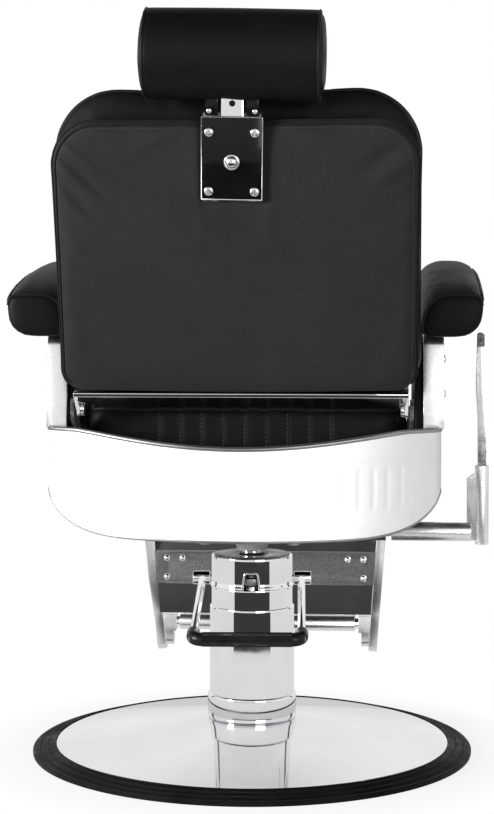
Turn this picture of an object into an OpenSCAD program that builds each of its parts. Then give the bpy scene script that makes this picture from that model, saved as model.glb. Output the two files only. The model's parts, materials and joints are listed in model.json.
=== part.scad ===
// Hydraulic barber chair. Z is up, the sitter faces -Y, the floor is Z = 0
// and the pump column stands on the Z axis. The sitter's left is +X.

/* [Base] */
// Outer radius of the rubber ring on the floor
base_r = 327; // [290:1:380]
// Width of the rubber ring
ring_w = 34; // [25:1:60]
// Height of the rubber ring where it meets the dome
ring_h = 15; // [10:0.5:18]
// Height of the rubber ring at its outer edge
ring_edge_h = 8; // [4:0.5:9]
// Number of ridges moulded round the rubber ring
ring_ridges = 5; // [0:1:8]
// Rise of the chrome dome from its rim to the column
dome_rise = 33; // [28:1:60]
// Sheet thickness of the chrome dome
dome_t = 2; // [1:0.5:4]
// Thickness of the steel floor plate inside the ring
floor_plate_t = 9; // [6:0.5:9.5]
// Radius of the pump's foot flange
flange_r = 95; // [85:1:120]
// Thickness of the pump's foot flange
flange_t = 12; // [8:1:14]

/* [Column] */
// Outer radius of the lower column tube
column_r = 63; // [60:0.5:75]
// Wall of the column tubes
column_wall = 2.5; // [1.5:0.5:5]
// Height of the step between the lower tube and the narrower sleeve
step_z = 216; // [180:1:225]
// Outer radius of the upper sleeve and of the cap
cap_r = 60.5; // [58:0.5:66]
// Height of the seam where the cap starts
cap_z = 245; // [235:1:246]
// Height of the cap
cap_h = 47; // [40:1:60]
// Wall of the cap
cap_wall = 3; // [2:0.5:5]
// Bottom width of the slot in the back of the cap
slot_w = 25; // [15:1:30]
// Top width of the slot in the back of the cap
slot_top_w = 16; // [10:1:24]
// Height of the slot above the seam
slot_h = 26; // [15:1:34]
// Angle the pump stands turned from the seat at rest
pump_turn = 2.6; // [-10:0.1:10]

/* [Pump] */
// Radius of the piston rod
rod_r = 18; // [14:0.5:24]
// Bore radius of the pump cylinder
cylinder_bore_r = 27; // [25:0.5:30]
// Wall of the pump cylinder
cylinder_wall = 3; // [2:0.5:4]
// Lift of the seat
lift_travel = 150; // [80:5:160]
// Radius of the pump plunger
plunger_r = 6; // [4:0.5:8]
// Distance of the plunger behind the column axis
plunger_y = 43; // [41:0.5:46]

/* [Foot pedal] */
// Height of the pedal pivot
pedal_z = 256; // [254:0.5:262]
// Radius of the pedal pivot shaft
pedal_shaft_r = 7; // [5:0.5:9]
// Radius of the pivot sleeves
sleeve_r = 10; // [9:0.5:12]
// Length of each pivot sleeve
sleeve_len = 26; // [18:1:32]
// Radius of the pedal rods
pedal_rod_r = 5.5; // [4:0.5:7]
// Distance of each pedal rod from the middle
pedal_half_w = 74; // [72:0.5:84]
// Reach of the pedal behind the pivot
pedal_reach = 276; // [200:1:278]
// Drop of the pedal from the pivot to the grip
pedal_drop = 41; // [20:1:50]
// Radius of the rubber grip
grip_r = 9.5; // [8:0.5:11]

/* [Seat frame] */
// Height of the seat hub's lower end above the cap
hub_gap = 8; // [4:1:20]
// Height of the hub cone
hub_cone_h = 22; // [15:1:30]
// Side of the square hub plate
hub_plate_w = 170; // [140:1:200]
// Spacing of the four hub bolts
hub_bolt_pitch = 130; // [110:1:132]
// Sheet thickness of the hub plate
hub_plate_t = 6; // [4:0.5:10]
// Outer half width of the seat frame
frame_half_w = 184; // [160:1:200]
// Sheet thickness of the seat frame
frame_t = 4; // [3:0.5:6]
// Height of the seat frame's side plates
frame_h = 72; // [60:1:80]
// Height of the cross channels
channel_h = 30; // [20:1:34]
// Depth of the cross channels
channel_w = 40; // [30:1:50]

/* [Seat pan] */
// Half width of the fluted seat pan
pan_half_w = 277; // [265:1:300]
// How far the pan's bowed back reaches behind the column
pan_back_y = 280; // [240:1:300]
// How far the pan's front reaches before the column
pan_front_y = 272; // [255:1:280]
// Bow of the pan's back
pan_bow = 98; // [60:1:120]
// Height of the pan's lower edge
pan_z = 347; // [345:0.5:352]
// Height of the pan's sides
pan_h = 147.5; // [135:0.5:155]
// Dip of the pan's upper edge at the middle of the back
pan_dip = 20.5; // [0:0.5:30]
// Wall of the pan
pan_wall = 3; // [2:0.5:4]
// Width over which the pan's lower edge rises to each side
pan_corner_w = 150; // [60:1:180]
// Rise of the pan's lower edge at its sides
pan_corner_h = 70; // [30:1:75]
// Sag of the pan's lower edge from its sides to the middle
pan_sag = 4; // [0:0.5:8]
// Number of flutes across the pan's back
flute_count = 23; // [1:2:27]
// Spacing of the flutes
flute_pitch = 21; // [16:0.5:24]
// Height of the flutes
flute_h = 58; // [40:1:70]
// Depth of each flute
flute_depth = 1.2; // [0.5:0.1:1.6]

/* [Seat cushion] */
// Thickness of the seat board
board_t = 15; // [10:1:18]
// Half width of the seat cushion
cushion_half_w = 231; // [210:1:232]
// Height of the cushion's side seam above the board
cushion_side_h = 84; // [60:1:90]
// Crown of the seat cushion above its seam
cushion_crown = 20; // [10:1:24]
// Front edge of the seat cushion before the column
cushion_front_y = 306; // [280:1:315]
// Back edge of the seat cushion behind the column
cushion_back_y = 162; // [140:1:166]
// Number of sewn seams in the cushions
seam_count = 9; // [3:2:13]
// Spacing of the sewn seams
seam_pitch = 32; // [24:1:34]
// Depth of the sewn seams
seam_depth = 5; // [2:0.5:8]

/* [Arms] */
// Inner face of the arm frames from the middle
arm_inner_x = 252; // [252:0.5:260]
// Width of the arm frames' bars
arm_w = 29; // [20:1:34]
// Height of the arm frames' top at its crown
arm_crown_z = 655; // [620:1:690]
// Droop of the arm frames' top from the crown to the back
arm_droop = 36; // [20:1:60]
// Thickness of the side panels
side_panel_t = 11.7; // [8:0.1:11.8]
// Outer half width over the armrest pads
armrest_half_w = 338; // [330:1:360]
// Width of an armrest pad
armrest_w = 82; // [70:1:84]
// Height of an armrest pad
armrest_h = 61; // [45:1:75]
// Thickness of the armrest boards
arm_board_t = 8; // [5:1:12]

/* [Backrest] */
// Recline of the backrest at rest
back_tilt = 12; // [5:0.5:20]
// Height of the recline hinge
hinge_z = 522; // [515:1:535]
// Distance of the recline hinge behind the column
hinge_y = 205; // [198:1:215]
// Radius of the hinge pins
hinge_pin_r = 5; // [4:0.5:7]
// Half width over the hinge bar's ears
hinge_bar_half_w = 231; // [225:0.5:232]
// Thickness of the hinge bar
hinge_bar_t = 6; // [4:0.5:8]
// Half width of the back cushion
back_half_w = 250; // [235:1:250]
// Lower edge of the backrest above the hinge
back_low_h = 31; // [31:1:50]
// Upper edge of the back cushion above the hinge
back_top_h = 441; // [380:1:445]
// Distance of the rear panel's upper edge below the back's
panel_drop = 37; // [30:1:60]
// Thickness of the backrest board
back_board_t = 12; // [8:1:14]
// Thickness of the rear panel
back_panel_t = 22; // [15:1:26]
// Thickness of the front cushion at its seam
back_side_t = 26; // [15:1:34]
// Crown of the back cushion
back_crown = 26; // [10:1:34]
// Radius of the backrest's upper corners
back_top_r = 64; // [30:1:90]
// Radius of the backrest's lower corners
back_low_r = 34; // [15:1:60]

/* [Headrest] */
// Radius of the headrest roll
roll_r = 62; // [45:1:62]
// Half length of the headrest roll
roll_half_l = 121; // [90:1:150]
// Height of the headrest roll's underside above the rear panel's upper edge
roll_rise = 28; // [27.5:0.5:45]
// Width of the slide bar
slide_w = 32; // [24:1:40]
// Thickness of the slide bar
slide_t = 5; // [4:0.5:8]
// Width of the lock plate
lock_plate_w = 83; // [76:1:100]
// Height of the lock plate
lock_plate_h = 112; // [100:1:130]
// Distance of the lock plate's middle below the back's upper edge
lock_drop = 87; // [84:1:100]
// Radius of the release button
button_r = 7.5; // [5:0.5:9]
// Travel of the headrest
headrest_travel = 80; // [40:5:85]

/* [Recline lever] */
// Height of the lever shaft
lever_z = 328; // [322:0.5:329]
// Radius of the lever's outer tube
lever_tube_r = 14; // [10:0.5:15]
// Radius of the lever's inner shaft
lever_shaft_r = 8; // [6:0.5:10]
// Distance of the lever bar from the middle
lever_x = 342; // [340:1:370]
// Radius of the upright socket
socket_r = 10; // [8:0.5:12]
// Height of the upright socket
socket_h = 117; // [80:1:130]
// Height of the lever's tip above the floor
lever_tip_z = 624; // [560:1:630]

/* [Legrest] */
// Height of the legrest pivot
leg_pivot_z = 352; // [348:1:356]
// Distance of the legrest pivot before the column
leg_pivot_y = 286; // [280:1:292]
// Radius of the legrest pivot pins
leg_pin_r = 6; // [5:0.5:8]
// Thickness of the legrest's side arms
leg_arm_t = 14; // [10:1:16]
// Outer half width of the side arms at the foot
leg_foot_half_w = 185; // [175:1:190]
// Outer half width of the side arms at the pivot
leg_top_half_w = 205; // [203:1:212]
// Distance of the calf board's back before the column
calf_y = 306; // [304:1:312]
// Height of the calf board's lower edge
calf_low_z = 152; // [145:1:165]
// Height of the calf board's upper edge
calf_top_z = 318; // [290:1:322]
// Thickness of the calf pad
calf_pad_t = 26; // [15:1:28]
// Distance of the foot tube before the column
foot_y = 372; // [370:1:390]
// Height of the foot tube
foot_z = 122; // [110:1:130]
// Radius of the foot tube
foot_tube_r = 9; // [7:0.5:12]
// Reach of the arms' toes below the foot tube
leg_toe = 46; // [30:1:60]
// Length of the footplate before its tube
footplate_l = 140; // [100:5:180]
// Half width of the footplate
footplate_half_w = 148; // [120:1:150]

/* [Fits] */
// Radial clearance of a running fit
run_gap = 0.05; // [0.02:0.01:0.1]
// Clearance round a piece that is fixed in another
seat_gap = 0.1; // [0.05:0.01:0.3]
// Clearance between pieces that pass each other
pass_gap = 0.3; // [0.2:0.05:1]

/* [Hidden] */
$fn = 64;
cut = 1;

// Base
ring_in_r = base_r - ring_w;
dome_rim_r = ring_in_r - seat_gap;
dome_rim_z = ring_h;
dome_top_z = dome_rim_z + dome_rise;
dome_hole_r = column_r + seat_gap;
flange_top_z = floor_plate_t + flange_t;
flange_bolt_r = 6;
flange_bolt_pcd_r = (column_r + flange_r) / 2;

// Column
collar_h = 38;
collar_r = column_r + 3;
collar_foot_r = column_r + 7;
cap_top_z = cap_z + cap_h;
cap_top_t = 6;
bead_r = 3;
bead_out = 1.8;
seal_r = rod_r + 6;

// Pump
cylinder_r = cylinder_bore_r + cylinder_wall;
cylinder_floor_t = 12;
piston_h = 24;
piston_stop = 50;
piston_z = cap_top_z - cap_top_t - 1 - piston_stop - lift_travel - piston_h;
barrel_r = plunger_r + 3;
barrel_low_z = 110;
barrel_top_z = 195;
plunger_head_h = 10;
yoke_h = 10;
yoke_w = 12;
yoke_in_r = cylinder_r + 6;
plunger_top_z = pedal_z - yoke_h / 2 - pass_gap;

// Pedal
sleeve_x = cap_r + bead_out + pass_gap;
shaft_in_x = yoke_in_r + yoke_w / 2;
grip_z = pedal_z - pedal_drop;
pedal_angle = atan2(pedal_drop, pedal_reach);
pedal_len = norm([pedal_reach, pedal_drop]);
grip_corner_r = grip_r + 1.8;
pedal_corner_r = pedal_rod_r + 1.5;

// Seat frame
hub_z = cap_top_z + hub_gap;
hub_plate_z = hub_z + hub_cone_h;
frame_z = hub_plate_z + hub_plate_t;
frame_top_z = frame_z + frame_h;
channel_top_z = frame_top_z + channel_h;
hub_bolt_r = 5;
hub_wall = 4.4;
front_channel_y = -215;
rear_channel_y = 150;
frame_front_y = leg_pivot_y + 16;
frame_rear_y = rear_channel_y + channel_w / 2;
frame_step_z = pan_z + 5;
channel_half_w = arm_inner_x + 12;

// Pan: the back is an arc through the corners and the middle of the back
pan_side_r = (pan_half_w * pan_half_w + pan_bow * pan_bow) / (2 * pan_bow);
pan_top_z = pan_z + pan_h;
pan_front_corner_r = 38;
pan_mouth_half = cushion_half_w + 5;
pan_back_corner_r = 26;
flute_r = 9;
flute_mid_z = pan_z + 0.44 * pan_h;

// Seat
board_z = channel_top_z;
seat_board_top_z = board_z + board_t;
cushion_mid_y = (cushion_back_y - cushion_front_y) / 2;
cushion_half_l = (cushion_back_y + cushion_front_y) / 2;

// Arms
arm_outer_x = arm_inner_x + arm_w;
arm_crown_y = -110;
arm_back_y = 168;
arm_front_y = -246;
arm_bar_h = 22;
arm_leg_w = 38;
arm_foot_x = min(arm_outer_x, pan_half_w - pan_wall - pass_gap);
armrest_back_y = arm_back_y + 14;
armrest_front_y = arm_front_y - 30;
armrest_in_x = armrest_half_w - armrest_w;
arm_board_inset = 0.45 * arm_w;

// Backrest
back_rear_t = back_board_t + back_panel_t;
panel_top_h = back_top_h - panel_drop;
bar_h = back_low_h - hinge_bar_t - seat_gap;
bar_front_t = -20;
bar_back_t = 28;
bar_bolt_x = 0.84 * hinge_bar_half_w;
bar_bolt_r = 7;
ear_r = 10;
bracket_t = 5;
bracket_x = hinge_bar_half_w + 2;
back_mid_h = (back_low_h + back_top_h) / 2;
back_half_h = (back_top_h - back_low_h) / 2;

// Headrest
roll_h = panel_top_h + roll_rise + roll_r;
lock_mid_h = back_top_h - lock_drop;
guide_t = 2;
slide_gap = 0.1;
slide_front_t = back_rear_t + guide_t + slide_gap;
slide_back_t = slide_front_t + slide_t;
plate_front_t = slide_back_t + slide_gap;
plate_t = 2.5;
plate_back_t = plate_front_t + plate_t;
screw_half_x = 30.5;
screw_half_h = 40.7;
screw_head_r = 6.5;
screw_head_h = 2.8;
slide_low_h = lock_mid_h - 52;
slide_top_h = roll_h - 18;
roll_t = 33;
button_travel = 3;
bezel_t = 3.5;

// Lever
lever_y = 0;
lever_tube_in_x = frame_half_w + 2 * lever_shaft_r + 8;
lever_end_x = frame_half_w - 6 * frame_t;
cam_r = 1.25 * lever_shaft_r;
lever_notch = frame_half_w - frame_t - lever_end_x + 4;
gusset_x = lever_x - socket_r - 12;
socket_low_z = lever_z - 18;
socket_top_z = socket_low_z + socket_h;
lever_bar_w = 12;
lever_bar_d = 22;

// Legrest
leg_knee_y = 322;
leg_knee_z = 205;
leg_pivot_r = 16;
leg_low_z = foot_z - leg_toe;
leg_lean = atan2(leg_top_half_w - leg_foot_half_w, leg_pivot_z - leg_low_z);
leg_channel_z = 198;
leg_channel_h = 54;
leg_bolt_r = 3;
calf_board_t = 12;
foot_inner_x = leg_foot_half_w - leg_arm_t;
block_w = 17;
block_half = foot_tube_r + 5;
tab_r = 11;

// Inner face of the leaning legrest arms at a height
function leg_inner_x(z) =
    leg_foot_half_w + (z - leg_low_z) * tan(leg_lean) - leg_arm_t / cos(leg_lean);

// Rise of the dome above the floor at a radius
function dome_z(r) =
    dome_rim_z + dome_rise * (1 - pow((r - dome_hole_r) / (dome_rim_r - dome_hole_r), 1.12));

// Height of the arm frame's top edge along Y
function arm_top(y) =
    arm_crown_z - arm_droop * pow((y - arm_crown_y) / (arm_back_y - arm_crown_y), 2);

// Y of the pan's back edge at a distance from the middle, for an inset of the wall
function pan_arc_y(x, inset) =
    pan_back_y - pan_side_r + sqrt(pow(pan_side_r - inset, 2) - x * x);

// A straight cylinder along X between two places
module x_rod(r, x0, x1, y, z) {
    translate([min(x0, x1), y, z]) rotate([0, 90, 0]) cylinder(r = r, h = abs(x1 - x0));
}

// A straight cylinder along Z between two heights
module z_rod(r, z0, z1) {
    translate([0, 0, z0]) cylinder(r = r, h = z1 - z0);
}

// A plate standing along Y and Z, drawn as [y, z], between two places along X
module side_plate(x0, x1) {
    translate([x0, 0, 0]) rotate([90, 0, 90]) linear_extrude(x1 - x0) children();
}

// The children and their mirror image across the middle
module both_sides() {
    children();
    mirror([1, 0, 0]) children();
}

// The pump's turned frame
module on_pump() {
    rotate([0, 0, pump_turn]) children();
}

// The backrest's frame: Y runs to its back, Z runs up along it from the hinge
module on_back() {
    translate([0, hinge_y, hinge_z]) rotate([-back_tilt, 0, 0]) children();
}

// Half width of a rounded outline at a height, with its own radii at the two ends
function outline_half(a, b, y, r_high, r_low) =
    let (r = y > 0 ? r_high : r_low, over = max(0, abs(y) - (b - r)))
    a - r + sqrt(max(0, r * r - over * over));

// Groove of sewn seams at a place across a cushion
function seam_groove(x, count, pitch, depth) =
    abs(x) > (count / 2) * pitch ? 0 : depth * pow(abs(cos(180 * x / pitch)), 8);

// A cushion on a flat base: crowned top, sides drawn in between the corners, sewn seams
module cushion(a, b, side_h, crown, r_high, r_low, nx, ny, pull, seams = 0) {
    us = [for (i = [0 : nx]) -1 + 2 * i / nx];
    ys = [for (j = [0 : ny]) b * sin(-90 + 180 * j / ny)];
    function half_at(y) =
        outline_half(a, b, y, r_high, r_low) - pull * (1 - pow(y / b, 2));
    function dome_at(u, v) = (1 - pow(abs(u), 3.2)) * (1 - pow(abs(v), 3.2));
    function low(u, y) = [u * half_at(y), y, 0];
    function high(u, y) =
        [u * half_at(y), y - pull * sign(y) * pow(abs(y / b), 6) * (1 - u * u),
         side_h + crown * dome_at(u, y / b)
             - seam_groove(u * a, seams, seam_pitch, seam_depth) * (1 - pow(abs(y / b), 12))];
    rim = concat(
        [for (i = [0 : nx]) [us[i], ys[0]]],
        [for (j = [1 : ny]) [1, ys[j]]],
        [for (i = [nx - 1 : -1 : 0]) [us[i], ys[ny]]],
        [for (j = [ny - 1 : -1 : 1]) [-1, ys[j]]]);
    n = len(rim);
    w = nx + 1;
    rim_top = concat(
        [for (i = [0 : nx]) i],
        [for (j = [1 : ny]) j * w + nx],
        [for (i = [nx - 1 : -1 : 0]) ny * w + i],
        [for (j = [ny - 1 : -1 : 1]) j * w]);
    first_low = w * (ny + 1);
    centre = first_low + n;
    pts = concat(
        [for (j = [0 : ny]) for (i = [0 : nx]) high(us[i], ys[j])],
        [for (p = rim) low(p[0], p[1])],
        [[0, 0, 0]]);
    top = [for (j = [0 : ny - 1]) for (i = [0 : nx - 1]) for (half = [0, 1])
        half == 0 ? [j * w + i, (j + 1) * w + i + 1, j * w + i + 1]
                  : [j * w + i, (j + 1) * w + i, (j + 1) * w + i + 1]];
    walls = [for (k = [0 : n - 1]) for (half = [0, 1])
        let (k1 = (k + 1) % n)
        half == 0 ? [rim_top[k], rim_top[k1], first_low + k1]
                  : [rim_top[k], first_low + k1, first_low + k]];
    base = [for (k = [0 : n - 1]) [first_low + k, first_low + (k + 1) % n, centre]];
    polyhedron(points = pts, faces = concat(top, walls, base), convexity = 4);
}

// A rounded upright outline with its own radii at the top and the bottom
module rounded_outline(a, low, high, r_high, r_low) {
    mid = (low + high) / 2;
    b = (high - low) / 2;
    steps = 12;
    ends = concat(
        [for (k = [0 : steps]) -b + r_low * (1 - cos(90 * k / steps))],
        [for (k = [0 : steps]) b - r_high * (1 - sin(90 * k / steps))]);
    right = [for (y = ends) [outline_half(a, b, y, r_high, r_low), mid + y]];
    left = [for (k = [len(ends) - 1 : -1 : 0]) [-right[k][0], right[k][1]]];
    polygon(concat(right, left));
}

// ---------------------------------------------------------------- base and column

module base_ring() {
    tread = base_r - ring_in_r - 8;
    slope = [for (k = [0 : 2 * ring_ridges])
        let (s = k / max(1, 2 * ring_ridges))
        [base_r - 5 - s * tread,
         ring_edge_h + (ring_h - ring_edge_h) * s + (k % 2 == 0 ? -0.5 : 0.7)]];
    color([0.05, 0.05, 0.055])
    rotate_extrude($fn = 128)
        polygon(concat(
            [[ring_in_r, 0], [base_r - 1.5, 0], [base_r, 1.5], [base_r, ring_edge_h - 2]],
            slope,
            [[ring_in_r + 1.5, ring_h + 1], [ring_in_r, ring_h - 0.5]]));
}

module base_dome() {
    steps = 20;
    rs = [for (k = [0 : steps]) dome_hole_r + (dome_rim_r - 3 - dome_hole_r) * k / steps];
    color([0.82, 0.83, 0.85])
    rotate_extrude($fn = 128)
        polygon(concat(
            [for (r = rs) [r, dome_z(r)]],
            [[dome_rim_r - 1, dome_rim_z - 0.6], [dome_rim_r, dome_rim_z - 2],
             [dome_rim_r, floor_plate_t], [dome_rim_r - dome_t, floor_plate_t],
             [dome_rim_r - dome_t, dome_rim_z - dome_t - 0.5]],
            [for (k = [steps : -1 : 0])
                [rs[k], max(floor_plate_t + 0.2, dome_z(rs[k]) - dome_t)]]));
}

module floor_plate() {
    color([0.2, 0.2, 0.21])
        z_rod(ring_in_r - seat_gap, 0, floor_plate_t);
}

module pump_flange() {
    color([0.25, 0.25, 0.26])
        z_rod(flange_r, floor_plate_t, flange_top_z);
}

module flange_bolts() {
    color([0.6, 0.6, 0.62])
    on_pump()
    for (a = [45 : 90 : 315])
        rotate([0, 0, a]) translate([flange_bolt_pcd_r, 0, flange_top_z]) {
            cylinder(r = flange_bolt_r * 1.6, h = 6, $fn = 6);
            translate([0, 0, 6]) cylinder(r = flange_bolt_r, h = 2);
        }
}

module column_collar() {
    z0 = dome_top_z;
    color([0.82, 0.83, 0.85])
    rotate_extrude($fn = 96)
        polygon([
            [column_r + seat_gap, z0], [collar_foot_r, z0], [collar_foot_r, z0 + 3],
            [collar_foot_r - 2, z0 + 6], [collar_r + 0.6, z0 + 8], [collar_r, z0 + 11],
            [collar_r, z0 + collar_h - 5], [collar_r - 0.8, z0 + collar_h - 1.5],
            [collar_r - 2, z0 + collar_h], [column_r + seat_gap, z0 + collar_h]]);
}

module column_tube() {
    color([0.85, 0.86, 0.88])
    rotate_extrude($fn = 96)
        polygon([
            [column_r - column_wall, flange_top_z], [column_r, flange_top_z],
            [column_r, step_z - 1], [column_r - 1, step_z], [cap_r, step_z],
            [cap_r, cap_z], [cap_r - column_wall, cap_z],
            [cap_r - column_wall, step_z - 6], [column_r - column_wall, step_z - 9]]);
}

// Outline of the slot in the cap, grown by a margin
module slot_outline(grow) {
    polygon([
        [-slot_w / 2 - grow, -cut], [slot_w / 2 + grow, -cut],
        [slot_w / 2 + grow, 4], [slot_top_w / 2 + 2 + grow, slot_h - 3 + grow],
        [slot_top_w / 2 - 1, slot_h + grow], [-slot_top_w / 2 + 1, slot_h + grow],
        [-slot_top_w / 2 - 2 - grow, slot_h - 3 + grow], [-slot_w / 2 - grow, 4]]);
}

// The slot's outline as a block through the back wall of the cap
module slot_block(grow, y0, y1) {
    translate([0, y1, cap_z]) rotate([90, 0, 0]) linear_extrude(y1 - y0) slot_outline(grow);
}

module column_cap() {
    color([0.84, 0.85, 0.87])
    on_pump()
    difference() {
        union() {
            rotate_extrude($fn = 96)
                polygon([
                    [cap_r - cap_wall, cap_z], [cap_r + bead_out - 0.6, cap_z],
                    [cap_r + bead_out, cap_z + 1.4], [cap_r + bead_out, cap_z + bead_r + 1],
                    [cap_r + 0.5, cap_z + 2 * bead_r], [cap_r, cap_z + 2 * bead_r + 1.5],
                    [cap_r, cap_top_z - 2], [cap_r - 2, cap_top_z], [seal_r, cap_top_z],
                    [seal_r, cap_top_z - cap_top_t],
                    [cap_r - cap_wall, cap_top_z - cap_top_t]]);
            intersection() {
                difference() {
                    z_rod(cap_r + bead_out, cap_z, cap_z + slot_h + 3);
                    translate([0, 0, -cut]) cylinder(r = cap_r - 1, h = cap_top_z + 2 * cut);
                }
                slot_block(2.4, cap_r / 2, cap_r + 10);
            }
        }
        slot_block(0, cap_r / 2, cap_r + 10 + cut);
        x_rod(pedal_shaft_r + run_gap, -cap_r - 10, cap_r + 10, 0, pedal_z);
    }
}

module rod_seal() {
    color([0.1, 0.1, 0.1])
    difference() {
        z_rod(seal_r - seat_gap, cap_top_z - cap_top_t - 1, cap_top_z + 1);
        translate([0, 0, cap_top_z - cap_top_t - 1 - cut])
            cylinder(r = rod_r + run_gap, h = cap_top_t + 2 + 2 * cut);
    }
}

// ---------------------------------------------------------------- pump inside

module pump_cylinder() {
    top = cap_top_z - cap_top_t - 1;
    color([0.45, 0.45, 0.47])
    on_pump()
    difference() {
        union() {
            z_rod(cylinder_r, flange_top_z, top);
            translate([0, plunger_y, 0]) z_rod(barrel_r, barrel_low_z, barrel_top_z);
            translate([-6, cylinder_r - 4, barrel_low_z])
                cube([12, plunger_y - barrel_r - cylinder_r + 8, barrel_top_z - barrel_low_z]);
        }
        z_rod(cylinder_bore_r, flange_top_z + cylinder_floor_t, top + cut);
        translate([0, plunger_y, 0])
            z_rod(plunger_r + run_gap, barrel_low_z + 12, barrel_top_z + cut);
    }
}

module plunger_spring() {
    low = barrel_top_z;
    high = plunger_top_z - plunger_head_h;
    color([0.6, 0.6, 0.62])
    on_pump() translate([0, plunger_y, 0])
    difference() {
        z_rod(plunger_r + 2, low, high);
        z_rod(plunger_r + 0.5, low - cut, high + cut);
    }
}

module pump_plunger() {
    color([0.7, 0.7, 0.72])
    on_pump() translate([0, plunger_y, 0]) {
        z_rod(plunger_r, barrel_top_z - 45, plunger_top_z);
        z_rod(plunger_r + 2, plunger_top_z - plunger_head_h, plunger_top_z);
    }
}

module piston_head() {
    color([0.5, 0.5, 0.52])
    difference() {
        z_rod(cylinder_bore_r - run_gap, piston_z, piston_z + piston_h);
        for (k = [0, 1])
            difference() {
                z_rod(cylinder_bore_r + cut, piston_z + 5 + 10 * k, piston_z + 9 + 10 * k);
                z_rod(cylinder_bore_r - 2.5, piston_z, piston_z + piston_h);
            }
    }
}

module piston_rod() {
    top = hub_plate_z - pass_gap;
    color([0.86, 0.87, 0.89])
    rotate_extrude($fn = 64)
        polygon([[0, piston_z + piston_h], [rod_r, piston_z + piston_h],
                 [rod_r, top - 1], [rod_r - 1, top], [0, top]]);
}

// ---------------------------------------------------------------- foot pedal

module pedal_shafts() {
    color([0.7, 0.7, 0.72])
    on_pump() both_sides()
        x_rod(pedal_shaft_r, shaft_in_x, sleeve_x + sleeve_len - 3, 0, pedal_z);
}

module pedal_frame() {
    color([0.8, 0.81, 0.83])
    on_pump() {
        both_sides()
        difference() {
            union() {
                x_rod(sleeve_r, sleeve_x, sleeve_x + sleeve_len, 0, pedal_z);
                translate([pedal_half_w, 0, pedal_z]) rotate([-90 - pedal_angle, 0, 0])
                    cylinder(r = pedal_rod_r, h = pedal_len);
            }
            x_rod(pedal_shaft_r + seat_gap, sleeve_x - cut, sleeve_x + sleeve_len - 3 + seat_gap,
                0, pedal_z);
        }
        x_rod(pedal_rod_r, -pedal_half_w, pedal_half_w, pedal_reach, grip_z);
        both_sides() translate([pedal_half_w, pedal_reach, grip_z]) sphere(r = pedal_corner_r);
    }
}

module pedal_grip() {
    sleeve_l = 24;
    color([0.06, 0.06, 0.06])
    on_pump()
    difference() {
        union() {
            x_rod(grip_r, -pedal_half_w, pedal_half_w, pedal_reach, grip_z);
            for (side = [-1, 1]) {
                translate([side * pedal_half_w, pedal_reach, grip_z])
                    sphere(r = grip_corner_r);
                translate([side * pedal_half_w, pedal_reach, grip_z])
                    rotate([90 - pedal_angle, 0, 0])
                        cylinder(r1 = grip_corner_r - 0.6, r2 = grip_r - 1.5, h = sleeve_l);
            }
        }
        x_rod(pedal_rod_r + seat_gap, -pedal_half_w, pedal_half_w, pedal_reach, grip_z);
        for (side = [-1, 1]) {
            translate([side * pedal_half_w, pedal_reach, grip_z])
                sphere(r = pedal_corner_r + seat_gap);
            translate([side * pedal_half_w, 0, pedal_z]) rotate([-90 - pedal_angle, 0, 0])
                cylinder(r = pedal_rod_r + seat_gap, h = pedal_len);
        }
    }
}

module pump_yoke() {
    color([0.4, 0.4, 0.42])
    on_pump()
    difference() {
        union() {
            intersection() {
                z_rod(yoke_in_r + yoke_w, pedal_z - yoke_h / 2, pedal_z + yoke_h / 2);
                translate([-100, 0, 0]) cube([200, 100, 400]);
            }
            both_sides() x_rod(pedal_shaft_r + 4, yoke_in_r, yoke_in_r + yoke_w, 0, pedal_z);
        }
        z_rod(yoke_in_r, pedal_z - 50, pedal_z + 50);
        both_sides()
            x_rod(pedal_shaft_r + seat_gap, shaft_in_x - seat_gap, yoke_in_r + yoke_w + cut, 0, pedal_z);
    }
}

// ---------------------------------------------------------------- seat structure

module seat_hub() {
    half = hub_plate_w / 2;
    color([0.3, 0.3, 0.31])
    difference() {
        union() {
            rotate_extrude($fn = 64)
                polygon([[0, hub_z], [rod_r + hub_wall, hub_z],
                         [rod_r + 1.2 * hub_wall, hub_z + hub_wall],
                         [rod_r + 3.2 * hub_wall, hub_plate_z], [0, hub_plate_z]]);
            translate([-half, -half, hub_plate_z]) cube([2 * half, 2 * half, hub_plate_t]);
        }
        z_rod(rod_r + run_gap, hub_z - cut, hub_plate_z);
        for (x = [-1, 1], y = [-1, 1])
            translate([x * hub_bolt_pitch / 2, y * hub_bolt_pitch / 2, 0])
                z_rod(hub_bolt_r + pass_gap, hub_plate_z - cut, frame_z + cut);
    }
}

module hub_bolts() {
    color([0.65, 0.65, 0.67])
    for (x = [-1, 1], y = [-1, 1])
        translate([x * hub_bolt_pitch / 2, y * hub_bolt_pitch / 2, 0]) {
            z_rod(hub_bolt_r, hub_plate_z, frame_z + frame_t + 6);
            translate([0, 0, hub_plate_z - 7]) cylinder(r = 9, h = 7, $fn = 6);
            translate([0, 0, frame_z + frame_t]) cylinder(r = 9, h = 6, $fn = 6);
        }
}

module frame_floor() {
    half = frame_half_w - frame_t;
    color([0.16, 0.16, 0.17])
    difference() {
        union() {
            translate([-half, -frame_front_y, frame_z])
                cube([2 * half, frame_front_y + 100, frame_t]);
            translate([-half, -frame_front_y, frame_z + frame_t])
                cube([2 * half, frame_t, frame_h - frame_t]);
        }
        for (x = [-half - cut, half - lever_notch])
            translate([x, lever_y - 17, frame_z - cut])
                cube([lever_notch + cut, 34, frame_t + 2 * cut]);
        for (x = [-1, 1], y = [-1, 1])
            translate([x * hub_bolt_pitch / 2, y * hub_bolt_pitch / 2, 0])
                z_rod(hub_bolt_r + pass_gap, frame_z - cut, frame_z + frame_t + cut);
    }
}

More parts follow.
